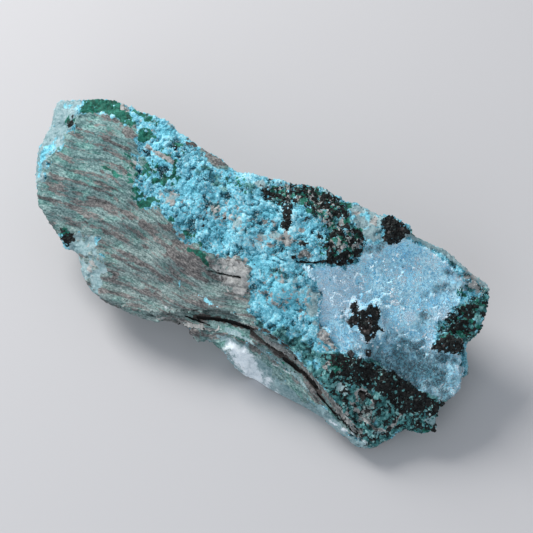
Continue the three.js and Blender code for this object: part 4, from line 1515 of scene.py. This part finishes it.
@dataclass(frozen=True)
class QuartzFinish:
    """Clear quartz: see-through, with a faint ice blue tint that deepens in places, partly a deeper blue and
    partly painted shade.
    """

    tint: Stops = (
        (0.32, (0.240, 0.660, 0.920)), (0.50, (0.540, 0.830, 0.970)), (0.70, (0.920, 0.940, 0.980)),
    )
    tint_scale: float = 260.0
    # Slate blue of the deeper places and of the painted shade on the crust's lower right
    deep: Colour = (0.088, 0.168, 0.212)
    frost: Colour = (0.78, 0.91, 1.0)
    frost_share: float = 0.85
    clear: float = 0.16
    index: float = 1.544
    roughness: float = 0.38
    polish: float = 0.34

    def make(self, name: str) -> bpy.types.Material:
        """Build the material.

        Args:
            name: Its name.

        Returns:
            The material.
        """
        g = Graph(name)
        shade = g.noise(g.place(), self.tint_scale, 4, 0.6) + g.stored("tone") * 0.05
        colour = g.mix(g.deepened_and_shaded(), g.ramp(shade, self.tint), self.deep)
        colour = g.mix(g.frosted() * self.frost_share, colour, self.frost)
        g.shade(Transmission_Weight=self.clear, IOR=self.index, Base_Color=colour)
        g.shade(Roughness=self.roughness - g.stored("gloss") * self.polish)
        return g.material


@dataclass(frozen=True)
class BlackFinish:
    """Black crystals with half glossy faces, and lighter flecks that are partly pale dust and partly painted
    glints.
    """

    # The lightest stop serves both pale dust and painted glints
    shades: Stops = (
        (0.42, (0.008, 0.006, 0.006)), (0.56, (0.038, 0.030, 0.029)), (0.74, (0.215, 0.185, 0.178)),
    )
    dust_scale: float = 700.0
    roughness: float = 0.12
    dust_roughness: float = 0.4
    bump_strength: float = 0.3
    bump_depth: float = 0.05 * MM

    def make(self, name: str) -> bpy.types.Material:
        """Build the material.

        Args:
            name: Its name.

        Returns:
            The material.
        """
        g = Graph(name)
        dust_and_glints = g.noise(g.place(), self.dust_scale, 4, 0.6)
        # The lighter flecks are partly pale dust and partly painted glints
        g.shade(Base_Color=g.ramp(dust_and_glints, self.shades), Roughness=self.roughness + dust_and_glints * self.dust_roughness)
        g.shade(Normal=g.bump(dust_and_glints, self.bump_strength, self.bump_depth))
        return g.material


@dataclass(frozen=True)
class FloorFinish:
    """A plain pale floor."""

    colour: Colour = (0.53, 0.525, 0.54)
    roughness: float = 0.9
    shine: float = 0.2

    def make(self, name: str) -> bpy.types.Material:
        """Build the material.

        Args:
            name: Its name.

        Returns:
            The material.
        """
        g = Graph(name)
        g.shade(Base_Color=self.colour, Roughness=self.roughness, Specular_IOR_Level=self.shine)
        return g.material


def dress(mesh: bpy.types.Mesh, cloud: Cloud, relief: np.ndarray, tone: np.ndarray) -> None:
    """Store on a mesh what the rock's finish reads.

    Args:
        mesh: The mesh.
        cloud: Its points.
        relief: How far each stands out, in millimetres.
        tone: How much lighter or darker each is.
    """
    for mineral in Mineral:
        write_floats(mesh, mineral.value, cloud.level[mineral])
    write_floats(mesh, "warm", cloud.warm)
    write_floats(mesh, "along", cloud.along)
    write_floats(mesh, "across", cloud.across)
    write_floats(mesh, "relief", relief)
    write_floats(mesh, "tone", tone)


@dataclass
class RockBody:
    """The rock: its solid refined, with the relief of each mineral."""

    voxel: float = 0.27 * MM
    passes: int = 7
    crust_passes: int = 60
    triangles: int = 194_000
    hidden_triangles: int = 60_000
    foot_fade: Range = (0.2 * MM, 1.0 * MM)
    crust_fade: Range = (-9.0, 3.0)
    crust_slope: Range = (0.1, 0.5)
    relief: Relief = field(default_factory=Relief)

    GROWTH: ClassVar[dict[str, float]] = {
        "rock": 0.0,
        "quartz_druse": 0.60 * MM,
        "black_crystals_rim": 0.25 * MM,
        "black_crystals_centre": 0.25 * MM,
        "black_crystals_end": 0.25 * MM,
    }

    def build(self) -> bpy.types.Object:
        """Build and dress the rock.

        Returns:
            The piece.
        """
        start = joined_nodes(self.GROWTH, "rock_start")
        dense = modified(start, "rock_dense", "REMESH", mode="VOXEL", voxel_size=self.voxel)
        drop(start)
        soften(dense.data, self.passes)
        points, normals = mesh_arrays(dense.data)
        near = ease(HOLLOW.depth(VIEW.to_pixels(points)), *self.crust_fade)
        soften(dense.data, self.crust_passes, near * ease(normals[:, 2], *self.crust_slope))
        points, normals = mesh_arrays(dense.data)
        cloud = Cloud(points, normals)
        rise = self.relief.at(cloud) * ease(points[:, 2], *self.foot_fade)
        moved = points + normals * rise[:, None] * MM
        moved[:, 2] = np.maximum(moved[:, 2], 0)
        move_points(dense.data, moved)
        dress(dense.data, cloud, rise, np.zeros(len(points)))
        rock = self._thinned(dense, cloud.seen < 0.5)
        drop(dense)
        rock.data.materials.append(RockFinish().make("rock_skin"))
        rock.data.polygons.foreach_set("use_smooth", np.ones(len(rock.data.polygons), bool))
        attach(rock, "root")
        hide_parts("rock")
        return rock

    def _thinned(self, dense: bpy.types.Object, hidden: np.ndarray) -> bpy.types.Object:
        """Take triangles away, first everywhere and then only where the photograph doesn't look.

        Args:
            dense: The full mesh.
            hidden: Whether each of its points is on a side that the photograph doesn't show.

        Returns:
            The thinned copy.
        """
        write_floats(dense.data, "hidden", hidden)
        shown = 2 * len(dense.data.polygons) * (1 - hidden.mean())
        ratio = (self.triangles - self.hidden_triangles) / shown
        collapse = {"use_collapse_triangulate": True}
        even = modified(dense, "rock_even", "DECIMATE", ratio=min(1.0, ratio), **collapse)
        layer = even.data.attributes["hidden"]
        values = np.empty(len(even.data.vertices))
        layer.data.foreach_get("value", values)
        even.data.attributes.remove(layer)
        spare = even.vertex_groups.new(name="spare")
        spare.add(np.flatnonzero(values > 0.5).tolist(), 1.0, "REPLACE")
        where = {"vertex_group": "spare", "vertex_group_factor": 1.0}
        ratio = self.triangles / len(even.data.polygons)
        rock = modified(even, "rock_body", "DECIMATE", ratio=ratio, **where, **collapse)
        drop(even)
        return rock


def turned_frames(normals: np.ndarray, lean: float, random: np.random.Generator) -> np.ndarray:
    """Make a frame for each normal, leaned a little and turned at random.

    Args:
        normals: Directions, one a row.
        lean: How far the frames lean, as a share of a unit vector.
        random: The source of random numbers.

    Returns:
        A three by three matrix for each, with its third column as the leaned normal.
    """
    up = normals + lean * random.normal(size=normals.shape)
    up /= np.linalg.norm(up, axis=1, keepdims=True)
    side = np.cross(up, random.normal(size=normals.shape))
    side /= np.linalg.norm(side, axis=1, keepdims=True)
    return np.stack([side, np.cross(up, side), up], axis=2)


def scattered(
    form: np.ndarray, faces: np.ndarray, frames: np.ndarray, sizes: np.ndarray, places: np.ndarray
) -> Form:
    """Copy a small form to many places.

    Args:
        form: The form's points, either one set or one set for each place.
        faces: Its triangles.
        frames: How each copy is turned.
        sizes: How large each copy is along its three axes.
        places: Where each copy is.

    Returns:
        The points and triangles of all the copies.
    """
    local = form * sizes[:, None, :]
    points = np.einsum("nij,nkj->nki", frames, local) + places[:, None, :]
    count = points.shape[1]
    triangles = faces[None] + (np.arange(len(places)) * count)[:, None, None]
    return points.reshape(-1, 3), triangles.reshape(-1, 3)


def surface_samples(
    piece: bpy.types.Object, count: int, random: np.random.Generator
) -> tuple[np.ndarray, np.ndarray]:
    """Pick points evenly over a mesh of triangles.

    Args:
        piece: The object.
        count: How many points.
        random: The source of random numbers.

    Returns:
        The points and the normals there.
    """
    corners = triangles_of(piece.data)
    points, normals = mesh_arrays(piece.data)
    a, b, c = (points[corners[:, n]] for n in range(3))
    areas = np.linalg.norm(np.cross(b - a, c - a), axis=1)
    picked = random.choice(len(corners), count, p=areas / areas.sum())
    u, v = random.random(count), random.random(count)
    flip = u + v > 1
    u, v = np.where(flip, 1 - u, u)[:, None], np.where(flip, 1 - v, v)[:, None]
    place = a[picked] * (1 - u - v) + b[picked] * u + c[picked] * v
    normal = normals[corners[picked]].mean(axis=1)
    # A place without a normal gets no number, and the comparisons that choose places leave it out
    return place, normal / np.linalg.norm(normal, axis=1, keepdims=True)


def small_sizes(limits: Range, count: int, random: np.random.Generator) -> np.ndarray:
    """Draw sizes of which most are small.

    Args:
        limits: The smallest and the largest.
        count: How many sizes.
        random: The source of random numbers.

    Returns:
        The sizes, one a row.
    """
    low, high = limits
    return low + (high - low) * random.random((count, 1)) ** 2


def around_copies(places: np.ndarray, normals: np.ndarray, each: int) -> Cloud:
    """Give each point of copied forms what the minerals are at its copy's place.

    Args:
        places: Where the copies are, one a row.
        normals: The surface's normals there.
        each: How many points a copy has.

    Returns:
        The cloud of all the copies' points.
    """
    return Cloud(np.repeat(places, each, axis=0), np.repeat(normals, each, axis=0))


def octahedron() -> Form:
    """Give an eight-sided form.

    Returns:
        Its points at a distance of one, and its triangles.
    """
    points = np.array([(1, 0, 0), (0, 1, 0), (-1, 0, 0), (0, -1, 0), (0, 0, 1), (0, 0, -1)], float)
    faces = [(n, (n + 1) % 4, 4) for n in range(4)] + [((n + 1) % 4, n, 5) for n in range(4)]
    return points, np.array(faces)


def box_form() -> Form:
    """Give a cube.

    Returns:
        Its corners at plus and minus one, and its triangles.
    """
    points = np.array([(x, y, z) for z in (-1, 1) for y in (-1, 1) for x in (-1, 1)], float)
    quads = ((0, 2, 3, 1), (4, 5, 7, 6), (0, 1, 5, 4), (2, 6, 7, 3), (0, 4, 6, 2), (1, 3, 7, 5))
    faces = np.array([t for a, b, c, d in quads for t in ((a, b, c), (a, c, d))])
    return points, faces


def quartz_form(shoulder: float, root: float) -> Form:
    """Give a six-sided prism with a six-sided point one unit high.

    Args:
        shoulder: The height at which the point starts.
        root: How deep the crystal goes into its bed.

    Returns:
        Its points and triangles.
    """
    turns = np.arange(6) * math.pi / 3
    ring = np.stack([np.cos(turns), np.sin(turns)], axis=1)
    low = np.column_stack([ring, np.full(6, -root)])
    high = np.column_stack([ring, np.full(6, shoulder)])
    points = np.vstack([low, high, [(0, 0, 1)]])
    faces = []
    for n in range(6):
        m = (n + 1) % 6
        faces += [(n, m, 6 + m), (n, 6 + m, 6 + n), (6 + n, 6 + m, 12)]
    faces += [(0, n + 1, n) for n in range(1, 5)]
    return points, np.array(faces)


@dataclass
class Crumbs:
    """Loose-looking crumbs of chrysocolla that stand on the turquoise parts of the rock."""

    count: int = 15000
    tries: int = 8
    size: Range = (0.09 * MM, 0.20 * MM)
    uneven: Range = (0.72, 1.25)
    stretch: Range = (0.75, 1.2)
    lean: float = 0.8
    # Crumbs are coloured as raised tops, a painted highlight that lightens them
    relief: float = 0.25
    tone_spread: float = 0.45
    proud: float = 0.04 * MM
    clump: float = 2.5 * MM
    bare_foot: Range = (0.8 * MM, 2 * MM)
    seed: int = 11

    def build(self, rock: bpy.types.Object) -> bpy.types.Object:
        """Build the crumbs.

        Args:
            rock: The dressed rock.

        Returns:
            The piece.
        """
        random = np.random.default_rng(self.seed)
        places, normals = surface_samples(rock, self.tries * self.count, random)
        cloud = Cloud(places, normals)
        kinds = (Mineral.BANDED, Mineral.DARK, Mineral.ICE, Mineral.BROWN, Mineral.GAP_SHADE)
        other = np.max([ease(cloud.level[mineral], -0.5, 0.0) for mineral in kinds], axis=0)
        smooth = 0.8 * np.maximum(cloud.amount(Mineral.PALE), cloud.amount(Mineral.MALACHITE))
        chance = (1 - other) * (1 - smooth) * ease(places[:, 2], *self.bare_foot)
        chance *= 0.35 + 0.65 * ease(smooth_noise(places / self.clump, 131), -0.5, 0.5)
        kept = np.flatnonzero(random.random(len(places)) < chance)[: self.count]
        places, normals = places[kept], normals[kept]
        form, faces = octahedron()
        forms = form[None] * random.uniform(*self.uneven, (len(kept), len(form), 1))
        sizes = small_sizes(self.size, len(kept), random)
        sizes = sizes * random.uniform(*self.stretch, (len(kept), 3))
        frames = turned_frames(normals, self.lean, random)
        points, triangles = scattered(forms, faces, frames, sizes, places + normals * self.proud)
        crumbs = new_piece("chrysocolla_crumbs", points, triangles)
        each = len(form)
        tone = np.repeat(random.normal(0.0, self.tone_spread, len(kept)), each)
        relief = np.full(len(points), self.relief)
        dress(crumbs.data, around_copies(places, normals, each), relief, tone)
        crumbs.data.materials.append(rock.data.materials[0])
        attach(crumbs, "root")
        return crumbs


@dataclass
class DarkGrains:
    """Small blocky dark green and black grains of the aggregate, and some in the painted shadow under the
    ledge above the hollow.
    """

    count: int = 3000
    tries: int = 24
    size: Range = (0.12 * MM, 0.29 * MM)
    stretch: Range = (0.6, 1.0)
    lean: float = 0.6
    tone_spread: float = 0.5
    relief_spread: float = 0.8
    proud: float = 0.05 * MM
    bare_foot: Range = (0.8 * MM, 2 * MM)
    seed: int = 12

    def build(self, rock: bpy.types.Object) -> bpy.types.Object:
        """Build the grains.

        Args:
            rock: The dressed rock.

        Returns:
            The piece.
        """
        random = np.random.default_rng(self.seed)
        places, normals = surface_samples(rock, self.tries * self.count, random)
        cloud = Cloud(places, normals)
        chance = cloud.amount(Mineral.DARK) * (1 - cloud.amount(Mineral.BANDED))
        chance *= ease(places[:, 2], *self.bare_foot)
        kept = np.flatnonzero(random.random(len(places)) < chance)[: self.count]
        places, normals = places[kept], normals[kept]
        form, faces = box_form()
        sizes = small_sizes(self.size, len(kept), random)
        sizes = sizes * random.uniform(*self.stretch, (len(kept), 3))
        frames = turned_frames(normals, self.lean, random)
        points, triangles = scattered(form[None], faces, frames, sizes, places + normals * self.proud)
        grains = new_piece("dark_grains", points, triangles)
        each = len(form)
        tone = np.repeat(random.normal(0.0, self.tone_spread, len(kept)), each)
        relief = np.repeat(random.normal(0.0, self.relief_spread, len(kept)), each)
        dress(grains.data, around_copies(places, normals, each), relief, tone)
        grains.data.materials.append(rock.data.materials[0])
        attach(grains, "root")
        return grains


@dataclass
class QuartzDruse:
    """The crust in the hollow: fine quartz points that cover its lumpy bed."""

    count: int = 8900
    tries: int = 14
    width: Range = (0.11 * MM, 0.23 * MM)
    slim: Range = (0.8, 1.5)
    shoulder: float = 0.45
    root: float = 0.4
    lean: float = 0.30
    seed: int = 13

    def build(self, rock: bpy.types.Object) -> bpy.types.Object:
        """Build the crystals.

        Args:
            rock: The dressed rock, whose surface is their bed.

        Returns:
            The piece.
        """
        random = np.random.default_rng(self.seed)
        places, normals = surface_samples(rock, self.tries * self.count, random)
        cloud = Cloud(places, normals)
        chosen = (cloud.amount(Mineral.ICE) > 0.5) & (cloud.amount(Mineral.DARK) < 0.5) & (cloud.seen > 0.7)
        places, normals = places[chosen][: self.count], normals[chosen][: self.count]
        form, faces = quartz_form(self.shoulder, self.root)
        width = small_sizes(self.width, len(places), random)
        tall = width * random.uniform(*self.slim, (len(places), 1))
        frames = turned_frames(normals, self.lean, random)
        points, triangles = scattered(form[None], faces, frames, np.hstack([width, width, tall]), places)
        crystals = new_piece("quartz_points", points, triangles)
        each = len(form)
        for mineral in (Mineral.DEEP_AND_SHADE, Mineral.FROST):
            level = cloud.level[mineral][chosen][: self.count]
            write_floats(crystals.data, mineral.value, np.repeat(level, each))
        write_floats(crystals.data, "tone", np.repeat(random.normal(0, 1, len(places)), each))
        write_floats(crystals.data, "gloss", np.repeat(random.random(len(places)) ** 4, each))
        crystals.data.materials.append(QuartzFinish().make("clear_quartz"))
        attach(crystals, "root")
        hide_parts("quartz_druse")
        return crystals


@dataclass
class BlackCluster:
    """One cluster of black crystals, in place of its solid."""

    node: str
    outline: Area
    seed: int
    count: int = 420
    tries: int = 16
    size: Range = (0.15 * MM, 0.42 * MM)
    stretch: Range = (0.75, 1.0)
    lean: float = 0.5
    sunk: float = 0.35 * MM
    margin: float = 1.2

    def build(self, finish: bpy.types.Material) -> bpy.types.Object:
        """Build the cluster.

        Args:
            finish: The black finish.

        Returns:
            The piece.
        """
        random = np.random.default_rng(self.seed)
        start = copy_of_node(self.node, "cluster_start")
        places, normals = surface_samples(start, self.tries * self.count, random)
        drop(start)
        shown = (normals[:, 2] > 0.0) & (self.outline.depth(VIEW.to_pixels(places)) > self.margin)
        places, normals = places[shown][: self.count], normals[shown][: self.count]
        form, faces = box_form()
        sizes = small_sizes(self.size, len(places), random)
        sizes = sizes * random.uniform(*self.stretch, (len(places), 3))
        frames = turned_frames(normals, self.lean, random)
        points, triangles = scattered(form[None], faces, frames, sizes, places - normals * self.sunk)
        cluster = new_piece(f"{self.node}_fine", points, triangles)
        cluster.data.materials.append(finish)
        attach(cluster, "root")
        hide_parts(self.node)
        return cluster


@dataclass(frozen=True)
class LoneCrystals:
    """The two black crystals that stand alone near the druse's lower border."""

    pixels: tuple[Pixel, ...] = ((350, 354), (368, 353))
    half: float = 0.58 * MM
    stretch: Range = (0.8, 1.1)
    proud: float = 0.50 * MM
    lean: float = 0.7
    seed: int = 17

    def build(self, rock: bpy.types.Object, finish: bpy.types.Material) -> bpy.types.Object:
        """Build the crystals.

        Args:
            rock: The rock they stand on.
            finish: The black finish.

        Returns:
            The piece.
        """
        random = np.random.default_rng(self.seed)
        tree = BVHTree.FromObject(rock, bpy.context.evaluated_depsgraph_get())
        places = np.array([tree.ray_cast(*VIEW.ray(pixel))[0] for pixel in self.pixels])
        form, faces = box_form()
        sizes = self.half * random.uniform(*self.stretch, (len(places), 3))
        frames = turned_frames(np.tile(VIEW.axes()[2], (len(places), 1)), self.lean, random)
        places += VIEW.axes()[2] * self.proud
        points, triangles = scattered(form[None], faces, frames, sizes, places)
        piece = new_piece("black_crystals_lone", points, triangles)
        piece.data.materials.append(finish)
        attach(piece, "root")
        return piece


@dataclass(frozen=True)
class Sheet:
    """One thin layer whose edge shows: where it runs on the photograph, its mineral and its size."""

    path: tuple[Pixel, ...]
    mineral: Mineral
    thickness: float
    width: float


SHEETS: tuple[Sheet, ...] = (
    Sheet((
        (262, 336), (272, 343), (285, 351), (297, 360), (308, 371), (316, 380), (322, 390), (331, 401),
        (341, 413), (351, 425), (357, 433),
    ), Mineral.BEIGE, 0.42 * MM, 1.3 * MM),
    Sheet(((250, 333), (262, 340), (274, 348), (286, 356)), Mineral.BROWN, 0.34 * MM, 1.1 * MM),
    Sheet((
        (225, 331), (238, 335), (252, 342), (266, 352), (280, 362), (296, 376), (310, 392),
    ), Mineral.PALE, 0.30 * MM, 0.9 * MM),
    Sheet((
        (118, 303), (150, 310), (178, 310), (205, 310), (226, 314), (244, 321), (256, 328),
    ), Mineral.BANDED, 0.36 * MM, 1.2 * MM),
    Sheet(((156, 318), (172, 320), (188, 325), (205, 328), (220, 330)), Mineral.BEIGE, 0.26 * MM, 0.9 * MM),
)


@dataclass(frozen=True)
class LedgeSheets:
    """The edges of the thin layers along the front ledge."""

    step: float = 1.2
    ragged: float = 0.28
    overhang: float = 0.45
    edge: float = 0.7
    taper: int = 4
    tip: float = 0.2
    tone_spread: float = 0.5
    smoothing: int = 4
    seed: int = 15

    def build(self, rock: bpy.types.Object) -> bpy.types.Object:
        """Build the sheets.

        Args:
            rock: The dressed rock.

        Returns:
            The piece.
        """
        random = np.random.default_rng(self.seed)
        tree = BVHTree.FromObject(rock, bpy.context.evaluated_depsgraph_get())
        points, faces, minerals = [], [], []
        for sheet in SHEETS:
            strip, triangles = self._strip(sheet, tree, random)
            faces.append(triangles + sum(len(p) for p in points))
            points.append(strip)
            minerals += [sheet.mineral] * len(strip)
        places = np.vstack(points)
        piece = new_piece("ledge_sheets", places, np.vstack(faces))
        cloud = Cloud(places, np.tile(VIEW.axes()[2], (len(places), 1)))
        for mineral in Mineral:
            own = np.array([one is mineral for one in minerals])
            cloud.level[mineral] = np.where(own, 1.0, -1.0)
        dress(piece.data, cloud, np.zeros(len(places)), random.normal(0, self.tone_spread, len(places)))
        piece.data.materials.append(rock.data.materials[0])
        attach(piece, "root")
        return piece

    def _strip(self, sheet: Sheet, tree: BVHTree, random: np.random.Generator) -> Form:
        """Lay one sheet's edge along the rock.

        Args:
            sheet: The sheet.
            tree: The rock's surface.
            random: The source of random numbers.

        Returns:
            The points and triangles of a closed strip.
        """
        spine = self._spine(sheet, tree)
        count = len(spine)
        out = VIEW.axes()[2] * (1, 1, 0)
        out /= np.linalg.norm(out)
        from_end = np.minimum(np.arange(count), np.arange(count)[::-1])
        taper = np.minimum(1, from_end / self.taper + self.tip)
        reach = sheet.width * taper * (1 + self.ragged * random.normal(size=count))
        half = np.array([0, 0, 0.5]) * sheet.thickness
        inner = spine - out * sheet.width
        outer = spine + out * (self.overhang * reach)[:, None]
        thin = self.edge * half
        rings = np.stack([inner - half, outer - thin, outer + thin, inner + half], axis=1)
        faces = []
        for n in range(count - 1):
            for k in range(4):
                a, b = 4 * n + k, 4 * n + (k + 1) % 4
                faces += [(a, b, b + 4), (a, b + 4, a + 4)]
        last = 4 * (count - 1)
        faces += [(0, 2, 1), (0, 3, 2), (last, last + 1, last + 2), (last, last + 2, last + 3)]
        return rings.reshape(-1, 3), np.array(faces)

    def _spine(self, sheet: Sheet, tree: BVHTree) -> np.ndarray:
        """Find the line on the rock that a sheet's path shows.

        Args:
            sheet: The sheet.
            tree: The rock's surface.

        Returns:
            The line's points in metres, one a row.
        """
        stretches = zip(sheet.path, sheet.path[1:])
        pixels = [
            tuple(np.array(a) + (np.array(b) - a) * t)
            for a, b in stretches
            for t in np.arange(0, 1, self.step / math.dist(a, b))
        ]
        hits = [tree.ray_cast(*VIEW.ray(pixel))[0] for pixel in pixels]
        spine = np.array([hit for hit in hits if hit is not None])
        for _ in range(self.smoothing):
            spine[1:-1] = 0.5 * spine[1:-1] + 0.25 * (spine[2:] + spine[:-2])
        return spine


@dataclass(frozen=True)
class SoftLight:
    """A square light that points at the specimen."""

    place: tuple[float, float, float]
    size: float
    power: float
    colour: Colour

    def build(self, name: str) -> None:
        """Add the light.

        Args:
            name: Its name.
        """
        data = bpy.data.lights.new(name, "AREA")
        data.size, data.energy, data.color = self.size, self.power, self.colour
        light = bpy.data.objects.new(name, data)
        light.location = self.place
        light.rotation_euler = (Vector(VIEW.target) - Vector(self.place)).to_track_quat("-Z", "Y").to_euler()
        bpy.context.collection.objects.link(light)


@dataclass(frozen=True)
class Studio:
    """The floor and the soft lights."""

    floor_half: float = 1.2
    sky: Colour = (0.80, 0.86, 0.93)
    sky_strength: float = 0.48
    key: SoftLight = SoftLight((-0.42, 0.10, 0.36), 0.26, 3.5, (1.0, 0.98, 0.95))
    fill: SoftLight = SoftLight((0.10, -0.55, 0.45), 0.5, 1.5, (0.9, 0.95, 1.0))

    def build(self) -> None:
        """Add the floor, the lights and the sky."""
        h = self.floor_half
        corners = np.array([(-h, -h, 0), (h, -h, 0), (h, h, 0), (-h, h, 0)], float)
        floor = new_piece("floor", corners, np.array([(0, 1, 2), (0, 2, 3)]))
        floor.data.materials.append(FloorFinish().make("pale_floor"))
        self.key.build("key_light")
        self.fill.build("fill_light")
        world = bpy.data.worlds.new("soft_sky")
        world.use_nodes = True
        background = world.node_tree.nodes["Background"]
        background.inputs["Color"].default_value = (*self.sky, 1.0)
        background.inputs["Strength"].default_value = self.sky_strength
        bpy.context.scene.world = world
        bpy.context.scene.view_settings.view_transform = "Standard"


def main() -> None:
    """Build the specimen piece by piece and report each."""
    logging.basicConfig(level=logging.INFO, format="%(message)s")
    VIEW.make_camera()
    Studio().build()
    rock = RockBody().build()
    pieces = [rock, Crumbs().build(rock), DarkGrains().build(rock), LedgeSheets().build(rock)]
    black = BlackFinish().make("black_crystal")
    pieces += [QuartzDruse().build(rock), LoneCrystals().build(rock, black)]
    for seed, (node, outline) in enumerate(CLUSTER_OUTLINES.items(), 31):
        pieces.append(BlackCluster(node, outline, seed).build(black))
    for piece in pieces:
        piece.data.calc_loop_triangles()
        LOG.info("%s: %d triangles", piece.name, len(piece.data.loop_triangles))


if __name__ == "__main__":
    main()
